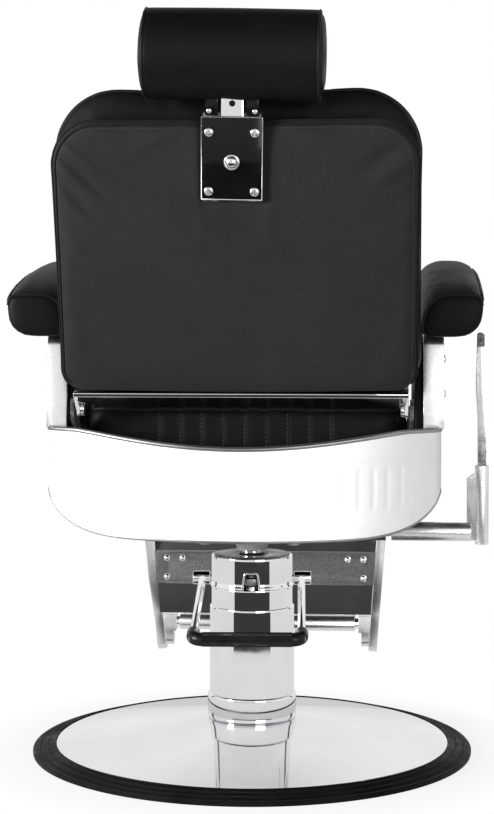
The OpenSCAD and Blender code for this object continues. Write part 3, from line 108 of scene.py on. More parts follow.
class Bench:
    """The maker's hand tools: every mesh is started, cut, turned and finished here."""

    def clear(self) -> None:
        """Leaves edit mode and deselects everything."""
        if bpy.context.mode != "OBJECT":
            bpy.ops.object.mode_set(mode="OBJECT")
        for piece in bpy.context.selected_objects:
            piece.select_set(False)

    def take(self, piece: Piece) -> Piece:
        """Selects one piece, makes it the active one and returns it."""
        self.clear()
        piece.hide_set(False)
        piece.select_set(True)
        bpy.context.view_layer.objects.active = piece
        return piece

    @contextmanager
    def editing(self, piece: Piece) -> Iterator[bmesh.types.BMesh]:
        """Opens a piece in edit mode with everything selected.

        Args:
            piece: the object to edit.
        Yields:
            Its edit mesh.
        """
        self.take(piece)
        bpy.ops.object.mode_set(mode="EDIT")
        bpy.ops.mesh.select_all(action="SELECT")
        yield bmesh.from_edit_mesh(piece.data)
        bpy.ops.object.mode_set(mode="OBJECT")

    def named(self, name: str) -> Piece:
        """Names the active object and its mesh."""
        piece = bpy.context.view_layer.objects.active
        piece.name = piece.data.name = name
        return piece

    def put(self, name: str, data: bpy.types.ID) -> Piece:
        """Makes an object of a mesh, a curve, a lamp or a camera."""
        piece = bpy.data.objects.new(name, data)
        bpy.context.scene.collection.objects.link(piece)
        return piece

    def read(self, piece: Piece, kind: str = "co") -> np.ndarray:
        """A mesh's places or normals, a row for each point."""
        values = np.empty(len(piece.data.vertices) * 3, np.float32)
        piece.data.vertices.foreach_get(kind, values)
        return values.reshape(-1, 3)

    def write(self, piece: Piece, points: np.ndarray) -> None:
        """Gives a mesh's points their places."""
        piece.data.vertices.foreach_set("co", points.astype(np.float32).ravel())
        piece.data.update()

    def face_out(self) -> None:
        """Turns every face of the edited mesh outwards."""
        bpy.ops.mesh.select_all(action="SELECT")
        bpy.ops.mesh.normals_make_consistent(inside=False)

    def modify(self, piece: Piece, kind: str, **settings: object) -> None:
        """Adds a modifier and applies it.

        Args:
            piece: the object to change.
            kind: Blender's name of the modifier type.
            settings: the modifier's attributes.
        """
        self.take(piece)
        tool = piece.modifiers.new(kind.title(), kind)
        for key, value in settings.items():
            setattr(tool, key, value)
        bpy.ops.object.modifier_apply(modifier=tool.name)

    def soften(self, piece: Piece, width: float, segments: int = 2,
               angle: float = 32.0) -> Piece:
        """Bevels the sharp edges and smooths the rest.

        Args:
            piece: the object to finish.
            width: bevel width in mm, or 0 for shading alone.
            segments: steps across the bevel.
            angle: the least angle in degrees that counts as an edge.
        Returns:
            The same object.
        """
        if width > 0:
            self.modify(piece, "BEVEL", width=width * MM, segments=segments, limit_method="ANGLE",
                angle_limit=radians(angle), harden_normals=False)
        return self.smooth(piece, angle + 8)

    def smooth(self, piece: Piece, angle: float = 40.0) -> Piece:
        """Shades a piece smooth, except over edges sharper than the angle in degrees."""
        self.take(piece)
        bpy.ops.object.shade_smooth_by_angle(angle=radians(angle))
        return piece

    def outward(self, piece: Piece) -> Piece:
        """Merges doubles and turns every face outwards."""
        with self.editing(piece):
            bpy.ops.mesh.remove_doubles(threshold=1e-6)
            self.face_out()
        return piece

    def block(self, name: str, low: Point, high: Point, bevel: float = 0.0,
              segments: int = 2) -> Piece:
        """A rectangular bar with eased edges.

        Args:
            name: name of the piece.
            low: lowest corner in mm.
            high: highest corner in mm.
            bevel: width of the eased edge in mm.
            segments: steps across that edge.
        Returns:
            The new object.
        """
        self.clear()
        middle = [(a + b) / 2 * MM for a, b in zip(low, high)]
        bpy.ops.mesh.primitive_cube_add(size=1.0, location=middle)
        piece = self.named(name)
        piece.scale = [(b - a) * MM for a, b in zip(low, high)]
        bpy.ops.object.transform_apply(location=True, rotation=True, scale=True)
        return self.soften(piece, bevel, segments)

    def plate(self, name: str, outline: Sequence[Flat], axis: Axis, start: float,
              end: float, bevel: float = 0.0, segments: int = 2) -> Piece:
        """A plate cut to an outline.

        Args:
            name: name of the piece.
            outline: corners in mm in the two axes other than axis, in order.
            axis: the direction of the plate's thickness.
            start: where the plate starts along the axis, in mm.
            end: where it ends.
            bevel: width of the eased edge in mm.
            segments: steps across that edge.
        Returns:
            The new object.
        """
        self.clear()
        bpy.ops.mesh.primitive_circle_add(vertices=len(outline), fill_type="NGON")
        piece = self.named(name)
        others = [k for k in range(3) if k != axis.value]
        for vertex, (u, v) in zip(piece.data.vertices, outline):
            place = [0.0, 0.0, 0.0]
            place[axis.value] = start * MM
            place[others[0]], place[others[1]] = u * MM, v * MM
            vertex.co = place
        travel = [0.0, 0.0, 0.0]
        travel[axis.value] = (end - start) * MM
        with self.editing(piece):
            bpy.ops.mesh.extrude_region_move(TRANSFORM_OT_translate={"value": travel})
            self.face_out()
        return self.soften(piece, bevel, segments)

    def turned(self, name: str, profile: Sequence[Flat], steps: int = 96,
               closed: bool = False, angle: float = 40.0) -> Piece:
        """A piece turned on the lathe about Z.

        Args:
            name: name of the piece.
            profile: corners as (radius, height) in mm, from one end to the other.
            steps: facets round the piece.
            closed: True for a ring, whose profile closes on itself.
            angle: the least angle in degrees that stays sharp.
        Returns:
            The new object.
        """
        self.clear()
        bpy.ops.mesh.primitive_circle_add(vertices=len(profile), fill_type="NOTHING")
        piece = self.named(name)
        for vertex, (r, z) in zip(piece.data.vertices, profile):
            vertex.co = (r * MM, 0.0, z * MM)
        with self.editing(piece) as mesh:
            if not closed:
                mesh.edges.ensure_lookup_table()
                ends = {0, len(profile) - 1}
                for edge in mesh.edges:
                    edge.select_set({v.index for v in edge.verts} == ends)
                bpy.ops.mesh.delete(type="EDGE")
                bpy.ops.mesh.select_all(action="SELECT")
            bpy.ops.mesh.spin(steps=steps, angle=2 * pi, center=(0, 0, 0), axis=(0, 0, 1))
            bpy.ops.mesh.select_all(action="SELECT")
            bpy.ops.mesh.remove_doubles(threshold=2e-6)
            bpy.ops.mesh.dissolve_degenerate(threshold=1e-6)
            self.face_out()
        return self.smooth(piece, angle)

    def swept(self, name: str, path: Sequence[Point], radius: float,
              closed: bool = False, round_steps: int = 3) -> Piece:
        """A round rod, wire or piping along a path.

        Args:
            name: name of the piece.
            path: points in mm.
            radius: radius of the section in mm.
            closed: True when the path is a loop.
            round_steps: fineness of the section.
        Returns:
            The new mesh object.
        """
        self.clear()
        curve = bpy.data.curves.new(name, "CURVE")
        curve.dimensions = "3D"
        curve.bevel_depth = radius * MM
        curve.bevel_resolution = round_steps
        curve.use_fill_caps = not closed
        spline = curve.splines.new("POLY")
        spline.points.add(len(path) - 1)
        for knot, (x, y, z) in zip(spline.points, path):
            knot.co = (x * MM, y * MM, z * MM, 1.0)
        spline.use_cyclic_u = closed
        self.take(self.put(name, curve))
        bpy.ops.object.convert(target="MESH")
        piece = self.named(name)
        self.outward(piece)
        return self.smooth(piece, 50)

    def copied(self, name: str, node: str, bevel: float = 0.0, segments: int = 2,
               tidy: float = 0.8) -> Piece:
        """A clean, merged copy of a solid from the frame, with eased edges.

        Args:
            name: name of the new piece.
            node: name of the solid.
            bevel: width of the eased edge in mm.
            segments: steps across that edge.
            tidy: faces that meet within this many degrees become one.
        Returns:
            The new object.
        """
        piece = self.put(name, frame["nodes"][node].data.copy())
        piece.data.name = name
        piece.data.materials.clear()
        with self.editing(piece):
            bpy.ops.mesh.remove_doubles(threshold=1e-5)
            if tidy > 0:
                bpy.ops.mesh.dissolve_limited(angle_limit=radians(tidy))
        if piece.data.has_custom_normals:
            self.take(piece)
            bpy.ops.mesh.customdata_custom_splitnormals_clear()
        return self.soften(piece, bevel, segments)

    def joined(self, name: str, *pieces: Piece) -> Piece:
        """Joins pieces into one object, which the first one becomes."""
        self.clear()
        for piece in pieces:
            piece.select_set(True)
        bpy.context.view_layer.objects.active = pieces[0]
        bpy.ops.object.join()
        return self.named(name)

    def carve(self, piece: Piece, *cutters: Piece) -> Piece:
        """Cuts other pieces out of one and throws them away."""
        for cutter in cutters:
            self.modify(piece, "BOOLEAN", operation="DIFFERENCE", solver="EXACT", object=cutter)
            bpy.data.objects.remove(cutter)
        return piece

    def moved(self, piece: Piece, matrix: Matrix) -> Piece:
        """Puts a piece's mesh through a matrix and leaves its object at the origin.

        Args:
            piece: the object.
            matrix: the move, in metres.
        Returns:
            The same object.
        """
        piece.data.transform(matrix)
        if matrix.determinant() < 0:
            self.outward(piece)
        piece.data.update()
        return piece

    def twin(self, piece: Piece, name: str,
             matrix: Matrix | None = None) -> Piece:
        """A copy with its own mesh, mirrored across the middle unless a matrix is given.

        Args:
            piece: the object to copy.
            name: name of the copy.
            matrix: where the copy goes, or None for the mirror image.
        Returns:
            The copy.
        """
        copy = self.put(name, piece.data.copy())
        copy.data.name = name
        self.moved(copy, matrix or MIRROR)
        return self.smooth(copy, 40)

    def both(self, piece: Piece, name: str) -> Piece:
        """Joins a piece with its mirror image across the middle."""
        return self.joined(name, piece, self.twin(piece, name + "_twin"))

    def reshape(self, piece: Piece,
                move: Callable[[np.ndarray, np.ndarray], np.ndarray]) -> Piece:
        """Moves every point of a mesh by a function of its place and normal.

        Args:
            piece: the object.
            move: takes points and normals in metres and returns the new points.
        Returns:
            The same object.
        """
        self.write(piece, move(self.read(piece).astype(float),
            self.read(piece, "normal").astype(float)))
        return piece

    def inflate(self, piece: Piece, voxel: float, cap: float,
                pressure: float = 4.0, calm: int = 4) -> Piece:
        """Fills a cover as cloth under pressure, then refines it.

        Args:
            piece: the closed form, slightly smaller than the finished pad.
            voxel: size of the remesh in mm.
            cap: how far a point may move, in mm.
            pressure: strength of the filling.
            calm: smoothing passes after the filling.
        Returns:
            The same object.
        """
        self.modify(piece, "REMESH", mode="VOXEL", voxel_size=voxel * MM, adaptivity=0.0)
        start = self.read(piece)
        self.take(piece)
        cloth = piece.modifiers.new("Filling", "CLOTH")
        cloth.settings.use_pressure = True
        cloth.settings.uniform_pressure_force = pressure
        cloth.settings.effector_weights.gravity = 0.0
        cloth.settings.quality = 4
        cloth.point_cache.frame_start, cloth.point_cache.frame_end = 1, CLOTH_FRAMES
        for number in range(1, CLOTH_FRAMES + 1):
            bpy.context.scene.frame_set(number)
        bpy.ops.object.modifier_apply(modifier=cloth.name)
        bpy.context.scene.frame_set(1)
        travel = self.read(piece) - start
        length = np.linalg.norm(travel, axis=1, keepdims=True)
        travel *= np.minimum(1.0, cap * MM / np.maximum(length, 1e-9))
        self.write(piece, start + travel)
        self.modify(piece, "SMOOTH", factor=0.5, iterations=calm)
        self.modify(piece, "SUBSURF", levels=1, render_levels=1)
        self.take(piece)
        bpy.ops.object.shade_smooth()
        return piece

    def fitted(self, piece: Piece, low: Point, high: Point) -> Piece:
        """Stretches a piece so that it fills a box exactly.

        Args:
            piece: the object.
            low: lowest corner of the box in mm.
            high: highest corner.
        Returns:
            The same object.
        """
        a, b = np.array(low) * MM, np.array(high) * MM

        def stretch(points: np.ndarray, _: np.ndarray) -> np.ndarray:
            """Maps the piece's own box onto the wanted one."""
            small, big = points.min(0), points.max(0)
            return a + (points - small) / (big - small) * (b - a)

        return self.reshape(piece, stretch)

    def on_skin(self, piece: Piece, path: Sequence[Point], lift: float,
                along: Point | None = None) -> tuple[list[Point], list[Vector]]:
        """Lays a path on a piece's surface.

        Args:
            piece: the object that carries the path.
            path: points near the surface in mm.
            lift: height over the surface in mm.
            along: the way the points drop onto it, or None for the nearest spot.
        Returns:
            The points in mm, and the surface's normals there.
        """
        tree = BVHTree.FromObject(piece, bpy.context.evaluated_depsgraph_get())
        places, normals = [], []
        for point in path:
            spot = None
            if along:
                way = Vector(along)
                spot, normal, _, _ = tree.ray_cast(Vector(point) * MM - way * 0.1, way, 0.2)
            if spot is None:
                spot, normal, _, _ = tree.find_nearest(Vector(point) * MM)
            places.append(tuple((spot + normal * lift * MM) / MM))
            normals.append(normal)
        return places, normals

    def stitches(self, name: str, rows: Sequence[tuple[list[Point], list[Vector]]],
                 pitch: float, length: float, radius: float) -> Piece:
        """A row of single thread stitches along each path.

        Args:
            name: name of the piece.
            rows: paths in mm, each with its surface normals.
            pitch: distance from stitch to stitch in mm.
            length: length of a stitch in mm.
            radius: half the thread's thickness in mm.
        Returns:
            One mesh with all the stitches.
        """
        points: list[Vector] = []
        faces: list[tuple[int, ...]] = []
        rings = ((-0.5, 0.35), (-0.3, 1.0), (0.3, 1.0), (0.5, 0.35))
        for path, normals in rows:
            spots = [Vector(p) for p in path]
            travelled, goal = 0.0, pitch / 2
            for k in range(1, len(spots)):
                leg = (spots[k] - spots[k - 1]).length
                while leg > 1e-6 and goal <= travelled + leg:
                    t = (goal - travelled) / leg
                    middle = spots[k - 1].lerp(spots[k], t)
                    along = (spots[k] - spots[k - 1]).normalized()
                    up = normals[k].normalized()
                    side = along.cross(up).normalized()
                    first = len(points)
                    for place, swell in rings:
                        for turn in range(6):
                            a = tau * turn / 6
                            points.append((middle + along * place * length
                                + side * cos(a) * radius * swell + up * sin(a) * radius * swell)
                                * MM)
                    for ring in range(3):
                        for turn in range(6):
                            a = first + ring * 6 + turn
                            b = first + ring * 6 + (turn + 1) % 6
                            faces.append((a, b, b + 6, a + 6))
                    faces.append(tuple(first + k2 for k2 in range(5, -1, -1)))
                    faces.append(tuple(first + 18 + k2 for k2 in range(6)))
                    goal += pitch
                travelled += leg
        mesh = bpy.data.meshes.new(name)
        mesh.from_pydata(points, [], faces)
        piece = self.outward(self.put(name, mesh))
        return self.smooth(piece, 50)

    def place(self, piece: Piece, body: str, finish: "Finish",
              *nodes: str) -> Piece:
        """Dresses a finished piece and lets it ride on its body.

        Args:
            piece: the finished object.
            body: the moving body that carries it.
            finish: its finish.
            nodes: the solids that it stands for.
        Returns:
            The same object.
        """
        piece.data.materials.clear()
        piece.data.materials.append(finish.material())
        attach(piece, body)
        if nodes:
            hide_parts(*nodes)
        LOG.info("%s: %d faces on %s", piece.name, len(piece.data.polygons), body)
        return piece

    def dressed(self, name: str, node: str, body: str, finish: "Finish", ease: float,
                segments: int = 2) -> Piece:
        """Copies a solid, eases its edges, dresses it and puts it in the solid's place."""
        return self.place(self.copied(name, node, ease, segments), body, finish, node)


BENCH = Bench()


def polar(r: float, angle: float) -> Flat:
    """A point at a distance and an angle in degrees."""
    return r * cos(radians(angle)), r * sin(radians(angle))


def arc(cx: float, cy: float, r: float, start: float, end: float, steps: int) -> list[Flat]:
    """Points on an arc about (cx, cy), from one angle in degrees to another."""
    return [(cx + r * cos(radians(start + (end - start) * k / steps)),
        cy + r * sin(radians(start + (end - start) * k / steps))) for k in range(steps + 1)]


def rounded(a: float, low: float, high: float, r_high: float, r_low: float,
            steps: int = 14) -> list[Flat]:
    """An upright rounded rectangle about the middle.

    Args:
        a: half width.
        low: lower edge.
        high: upper edge.
        r_high: radius of the upper corners.
        r_low: radius of the lower corners.
        steps: pieces of each corner.
    Returns:
        Its outline, counterclockwise from the lower right corner.
    """
    return (arc(a - r_low, low + r_low, r_low, -90, 0, steps)
            + arc(a - r_high, high - r_high, r_high, 0, 90, steps)
            + arc(-a + r_high, high - r_high, r_high, 90, 180, steps)
            + arc(-a + r_low, low + r_low, r_low, 180, 270, steps))


def spaced(path: Sequence[Sequence[float]], pitch: float,
           closed: bool = False) -> list[tuple[float, ...]]:
    """A polyline cut into even steps.

    Args:
        path: its corners.
        pitch: length of a step.
        closed: True when the last corner joins the first.
    Returns:
        The evenly spaced points.
    """
    corners = [Vector(p) for p in path] + ([Vector(path[0])] if closed else [])
    legs = [(b - a).length for a, b in zip(corners, corners[1:])]
    total = sum(legs)
    count = max(2, round(total / pitch))
    result, k, passed = [], 0, 0.0
    for number in range(count if closed else count + 1):
        goal = total * number / count
        while k < len(legs) - 1 and passed + legs[k] < goal:
            passed += legs[k]
            k += 1
        t = (goal - passed) / legs[k] if legs[k] else 0.0
        result.append(tuple(corners[k].lerp(corners[k + 1], min(1.0, t))))
    return result


def bell(distance: np.ndarray, width: float) -> np.ndarray:
    """A smooth hump of height 1 that fades over a half width."""
    return np.exp(-(distance / width) ** 2)


def seam_gap(x: np.ndarray, seams: int, pitch: float) -> np.ndarray:
    """Distance to the nearest one of an odd number of seams about the middle."""
    return np.abs(x - np.clip(np.round(x / pitch), -(seams // 2), seams // 2) * pitch)


# ---------- finishes


class ShaderBench:
    """Adds nodes to one tree and wires them."""

    def __init__(self, tree: Tree) -> None:
        """Starts on a node tree."""
        self.tree = tree

    def give(self, value: object, entry: Socket) -> None:
        """Links a socket to an input, or sets a plain value on it."""
        if isinstance(value, Socket):
            self.tree.links.new(value, entry)
        else:
            entry.default_value = value

    def node(self, kind: str, inputs: dict[str | int, object] | None = None,
             **settings: object) -> Node:
        """Adds a node.

        Args:
            kind: Blender's name of the node type.
            inputs: values or sockets by input name or number.
            settings: attributes of the node.
        Returns:
            The node.
        """
        made = self.tree.nodes.new(kind)
        for key, value in settings.items():
            setattr(made, key, value)
        for key, value in (inputs or {}).items():
            self.give(value, made.inputs[key])
        return made

    def maths(self, operation: str, a: object, b: object = 0.0, clamp: bool = False) -> Socket:
        """A Math node's result; clamp keeps it in 0 to 1."""
        return self.node("ShaderNodeMath", {0: a, 1: b}, operation=operation,
                         use_clamp=clamp).outputs[0]

    def plus(self, a: object, b: object) -> Socket:
        """The sum of two values."""
        return self.maths("ADD", a, b)

    def times(self, a: object, b: object) -> Socket:
        """The product of two values."""
        return self.maths("MULTIPLY", a, b)

    def spread(self, value: object, low: float, high: float, to_low: float = 0.0,
               to_high: float = 1.0) -> Socket:
        """Maps a range of values onto another, smoothly."""
        return self.node("ShaderNodeMapRange", {"Value": value, "From Min": low, "From Max": high,
            "To Min": to_low, "To Max": to_high}, interpolation_type="SMOOTHSTEP").outputs[0]

    def blend(self, factor: object, a: object, b: object) -> Socket:
        """Mixes two colours: factor 0 gives the first and 1 the second."""
        return self.node("ShaderNodeMix", {0: factor, 6: a, 7: b}, data_type="RGBA").outputs[2]

    def noise(self, place: Socket, scale: object, detail: float = 2.0,
              roughness: float = 0.5) -> Socket:
        """A noise texture's value."""
        return self.node("ShaderNodeTexNoise", {"Vector": place, "Scale": scale, "Detail": detail,
            "Roughness": roughness}).outputs[0]

    def group(self, tree: Tree, **inputs: object) -> Node:
        """Places a shared effect with its inputs."""
        return self.node("ShaderNodeGroup", inputs, node_tree=tree)

    def place(self) -> Socket:
        """The Object coordinates."""
        return self.node("ShaderNodeTexCoord").outputs["Object"]

    def height(self, place: Socket) -> Socket:
        """The Z of a place."""
        return self.node("ShaderNodeSeparateXYZ", {0: place}).outputs[2]

    def mixed(self, factor: Socket, a: Node, b: Node) -> Node:
        """Mixes two shaders: factor 0 gives the first and 1 the second."""
        return self.node("ShaderNodeMixShader", {0: factor, 1: a.outputs[0], 2: b.outputs[0]})


def painted(name: str, wire: Callable[[ShaderBench], Node]) -> bpy.types.Material:
    """A material, wired the first time it is asked for.

    Args:
        name: name of the material.
        wire: adds its nodes and returns the shader.
    Returns:
        The material.
    """
    if name in bpy.data.materials:
        return bpy.data.materials[name]
    made = bpy.data.materials.new(name)
    made.use_nodes = True
    made.node_tree.nodes.clear()
    s = ShaderBench(made.node_tree)
    s.node("ShaderNodeOutputMaterial", {0: wire(s).outputs[0]})
    return made


def effect(name: str, outputs: Sequence[str], **inputs: float | None) -> Callable:
    """Turns a function that wires a node group into one that gives the shared group.

    Args:
        name: name of the effect.
        outputs: names of its outputs, which are plain values.
        inputs: default value of each input; None is a vector.
    Returns:
        The decorator.
    """

    def wrap(build: Callable[[ShaderBench, dict], Sequence[Socket]]) -> Callable[[], Tree]:
        """Keeps the wiring for the first time the group is asked for."""

        def shared() -> Tree:
            """The node group, built once."""
            if name in bpy.data.node_groups:
                return bpy.data.node_groups[name]
            tree = bpy.data.node_groups.new(name, "ShaderNodeTree")
            for key, value in inputs.items():
                kind = "NodeSocketVector" if value is None else "NodeSocketFloat"
                socket = tree.interface.new_socket(key, in_out="INPUT", socket_type=kind)
                if value is not None:
                    socket.default_value = value
            for key in outputs:
                tree.interface.new_socket(key, in_out="OUTPUT", socket_type="NodeSocketFloat")
            entry = tree.nodes.new("NodeGroupInput")
            leave = tree.nodes.new("NodeGroupOutput")
            made = build(ShaderBench(tree), {key: entry.outputs[key] for key in inputs})
            for key, socket in zip(outputs, made):
                tree.links.new(socket, leave.inputs[key])
            return tree

        return shared

    return wrap


@effect("Soft smudges", ["Mask"], Vector=None, Scale=6.0)
def smudges(s: ShaderBench, i: dict) -> Sequence[Socket]:
    """Soft cloudy marks of two sizes, as hands and polish leave on a surface."""
    broad = s.noise(i["Vector"], i["Scale"], 3.0, 0.55)
    finer = s.noise(i["Vector"], s.times(i["Scale"], 4.3), 4.0, 0.6)
    return [s.spread(s.plus(s.times(broad, 0.65), s.times(finer, 0.35)), 0.36, 0.64)]


@effect("Leather grain", ["Height", "Creases"], Vector=None, Scale=900.0)
def leather_grain(s: ShaderBench, i: dict) -> Sequence[Socket]:
    """The pebbled grain of vinyl: rounded cells with creases, over a softer swell."""
    wobble = s.node("ShaderNodeTexNoise", {"Vector": i["Vector"],
        "Scale": s.times(i["Scale"], 0.4), "Detail": 2.0})
    bent = s.node("ShaderNodeVectorMath", {0: wobble.outputs[1], "Scale": 0.0012},
                  operation="SCALE")
    where = s.node("ShaderNodeVectorMath", {0: i["Vector"], 1: bent.outputs[0]}, operation="ADD")
    cells = s.node("ShaderNodeTexVoronoi", {"Vector": where.outputs[0], "Scale": i["Scale"]},
                   feature="DISTANCE_TO_EDGE")
    bumps = s.spread(cells.outputs[0], 0.0, 0.28)
    swell = s.noise(i["Vector"], s.times(i["Scale"], 0.22), 3.0)
    return [s.plus(s.times(bumps, 0.7), s.times(swell, 0.6)), s.maths("SUBTRACT", 1.0, bumps)]


@effect("Edge wear and painted edge shade", ["Mask"], Vector=None, Amount=0.6)
def edge_wear_and_shade(s: ShaderBench, i: dict) -> Sequence[Socket]:
    """Where corners stick out, in patches: on a coat the places rubbed thin, on a casting painted
    shade along its edges.
    """
    ridge = s.spread(s.node("ShaderNodeNewGeometry").outputs["Pointiness"], 0.51, 0.58)
    broken = s.spread(s.noise(i["Vector"], 120.0, 4.0), 0.42, 0.6)
    return [s.maths("MULTIPLY", s.times(ridge, broken), i["Amount"], clamp=True)]


@effect("Sprayed speckle", ["Height", "Mask"], Vector=None, Scale=900.0)
def speckle(s: ShaderBench, i: dict) -> Sequence[Socket]:
    """The uneven grain of a sprayed coat, in lumps of two sizes."""
    lumps = s.noise(i["Vector"], i["Scale"], 3.0, 0.7)
    drops = s.node("ShaderNodeTexVoronoi", {"Vector": i["Vector"],
        "Scale": s.times(i["Scale"], 0.6)}, feature="F1").outputs[0]
    return [s.plus(lumps, s.times(drops, 0.5)), s.spread(lumps, 0.42, 0.62)]


@effect("Fine lines", ["Height"], Value=0.0, Pitch=0.002)
def fine_lines(s: ShaderBench, i: dict) -> Sequence[Socket]:
    """Even fine lines across a value, such as moulded ridges or turning marks."""
    turns = s.maths("DIVIDE", i["Value"], i["Pitch"])
    return [s.plus(s.times(s.maths("SINE", s.times(turns, tau)), 0.5), 0.5)]


@dataclass(frozen=True)
class Finish:
    """A finish: its material is made once, from its own fields."""

    name: str
    slot: str
    colour: Colour
    second: Colour
    roughness: float = 0.4
    variation: float = 0.08
    bump: float = 0.1
    scale: float = 6.0
    gloss: float = 0.5

    def material(self) -> bpy.types.Material:
        """The finish's material."""
        made = painted(self.name, self.shader)
        made.diffuse_color = (*self.colour, 1.0)
        return made

    def shader(self, s: ShaderBench) -> Node:
        """A Principled shader that carries the finish's pattern."""
        shader = s.node("ShaderNodeBsdfPrincipled")
        self.wire(s, shader, s.place())
        return shader

    def wire(self, s: ShaderBench, shader: Node, place: Socket) -> None:
        """Wires the pattern into the shader; each kind of finish has its own."""
        raise NotImplementedError

    def marks(self, s: ShaderBench, place: Socket, scale: float = 0.0) -> Socket:
        """Smudges at a scale, or at the finish's own."""
        return s.group(smudges(), Vector=place, Scale=scale or self.scale).outputs[0]

    def tinted(self, s: ShaderBench, mask: Socket) -> Socket:
        """The finish's two colours, mixed by a mask."""
        return s.blend(mask, (*self.colour, 1), (*self.second, 1))

    def rough(self, s: ShaderBench, mask: Socket, low: float = 0.0,
              high: float = 1.0) -> Socket:
        """A roughness that goes to both sides of the finish's own with a mask."""
        return s.spread(mask, low, high, self.roughness - self.variation,
                        self.roughness + self.variation)

    def rougher(self, s: ShaderBench, mask: Socket) -> Socket:
        """A roughness that only grows with a mask."""
        return s.spread(mask, 0.0, 1.0, self.roughness, self.roughness + self.variation)

    def painted_grazing_reflection(self, s: ShaderBench, colour: Socket) -> Socket:
        """Paints a dark reflection into bright metal's colour where it turns away from the view,
        as it would mirror a dark surround there.
        """
        facing = s.node("ShaderNodeLayerWeight", {"Blend": 0.5}).outputs["Facing"]
        return s.blend(s.spread(facing, 0.80, 0.97, 0.0, 0.8), colour, (0.10, 0.10, 0.105, 1))

    def feed(self, s: ShaderBench, shader: Node, colour: Socket, roughness: Socket,
             height: Socket, distance: float, metal: float = 0.0) -> None:
        """Connects colour, roughness and relief.

        Args:
            s: the tree being wired.
            shader: the Principled shader.
            colour: the colour socket.
            roughness: the roughness socket.
            height: the relief socket.
            distance: height of the relief in metres.
            metal: how much of a metal it is.
        """
        bump = s.node("ShaderNodeBump",
            {"Strength": self.bump, "Distance": distance, "Height": height}).outputs[0]
        for key, value in (("Base Color", colour), ("Roughness", roughness), ("Normal", bump),
                           ("Specular IOR Level", self.gloss), ("Metallic", metal)):
            s.give(value, shader.inputs[key])


@dataclass(frozen=True)
class Vinyl(Finish):
    """Coated upholstery vinyl: pebbled grain, faint wear and a soft sheen."""

    def wire(self, s: ShaderBench, shader: Node, place: Socket) -> None:
        """Grain into the relief, smudges into colour and roughness, painted shade into the grain's
        creases.
        """
        height, creases = s.group(leather_grain(), Vector=place, Scale=self.scale).outputs
        marks = self.marks(s, place, 5.0)
        # Darker colour in the grain's creases: painted shade.
        colour = s.blend(s.times(creases, 0.5), self.tinted(s, marks),
                         (*[c * 0.45 for c in self.colour], 1))
        rough = s.plus(self.rough(s, marks), s.times(creases, 0.12))
        self.feed(s, shader, colour, rough, height, 0.0005)


@dataclass(frozen=True)
class Chrome(Finish):
    """Bright plating: nearly a mirror, with faint smudges and a slight ripple."""

    metal: float = 1.0

    def wire(self, s: ShaderBench, shader: Node, place: Socket) -> None:
        """Smudges into roughness and colour, a painted dark reflection where it turns away, a long
        ripple into the relief.
        """
        marks = self.marks(s, place)
        # The colour carries a painted dark reflection where the surface turns from the view.
        self.feed(s, shader, self.painted_grazing_reflection(s, self.tinted(s, marks)), self.rougher(s, marks),
                  s.noise(place, self.scale * 3), 0.002, self.metal)


@dataclass(frozen=True)
class CastAlloy(Finish):
    """Polished casting: mottled brightness, small pits, and edges darkened in the colour as
    painted shade.
    """

    def wire(self, s: ShaderBench, shader: Node, place: Socket) -> None:
        """Mottle into colour and roughness, painted shade on the edges and a painted dark
        reflection where it turns away, pits and mottle into the relief.
        """
        mottle = self.marks(s, place)
        pits, dust = s.group(speckle(), Vector=place, Scale=700.0).outputs
        wear = s.group(edge_wear_and_shade(), Vector=place, Amount=0.5).outputs[0]
        # The edge mask darkens the corners towards 0.70 grey: painted shade along the edges.
        colour = s.blend(wear, self.tinted(s, mottle), (0.70, 0.70, 0.71, 1))
        smooth = s.spread(mottle, 0.0, 1.0, self.roughness + self.variation, self.roughness)
        self.feed(s, shader, self.painted_grazing_reflection(s, colour), s.plus(smooth, s.times(dust, 0.08)),
                  s.plus(pits, s.times(mottle, 2.0)), 0.0003, 1.0)


@dataclass(frozen=True)
class PlatedSteel(Finish):
    """Zinc plated or turned steel: cloudy, with fine turning marks."""

    def wire(self, s: ShaderBench, shader: Node, place: Socket) -> None:
        """Clouds into colour and roughness, brushed grain into the relief."""
        marks = self.marks(s, place)
        lines = s.group(fine_lines(), Value=s.height(place), Pitch=0.0007).outputs[0]
        self.feed(s, shader, self.tinted(s, marks), self.rougher(s, marks),
                  s.plus(marks, s.times(lines, 0.4)), 0.0002, 1.0)


@dataclass(frozen=True)
class Coat(Finish):
    """Sprayed paint or powder over steel: grain, dust and rubbed edges."""

    bare: Colour = (0.28, 0.28, 0.29)
    wear: float = 0.5
    speck: float = 900.0

    def wire(self, s: ShaderBench, shader: Node, place: Socket) -> None:
        """Grain into the relief, worn edges and dust into the colour."""
        height, mask = s.group(speckle(), Vector=place, Scale=self.speck).outputs
        marks = self.marks(s, place)
        worn = s.group(edge_wear_and_shade(), Vector=place, Amount=self.wear).outputs[0]
        dusty = s.blend(s.times(marks, 0.25), self.tinted(s, mask),
                        (*[c * 1.5 + 0.01 for c in self.colour], 1))
        self.feed(s, shader, s.blend(worn, dusty, (*self.bare, 1)), self.rough(s, marks),
                  height, 0.0006)


@dataclass(frozen=True)
class Gloss(Finish):
    """Deep gloss black lacquer with faint polishing marks."""

    def wire(self, s: ShaderBench, shader: Node, place: Socket) -> None:
        """Smudges into roughness, a long ripple into the relief, under a clear coat."""
        marks = self.marks(s, place)
        self.feed(s, shader, self.tinted(s, marks), self.rougher(s, marks),
                  s.noise(place, 40.0), 0.001)
        s.give(0.15, shader.inputs["Coat Weight"])
        s.give(0.06, shader.inputs["Coat Roughness"])


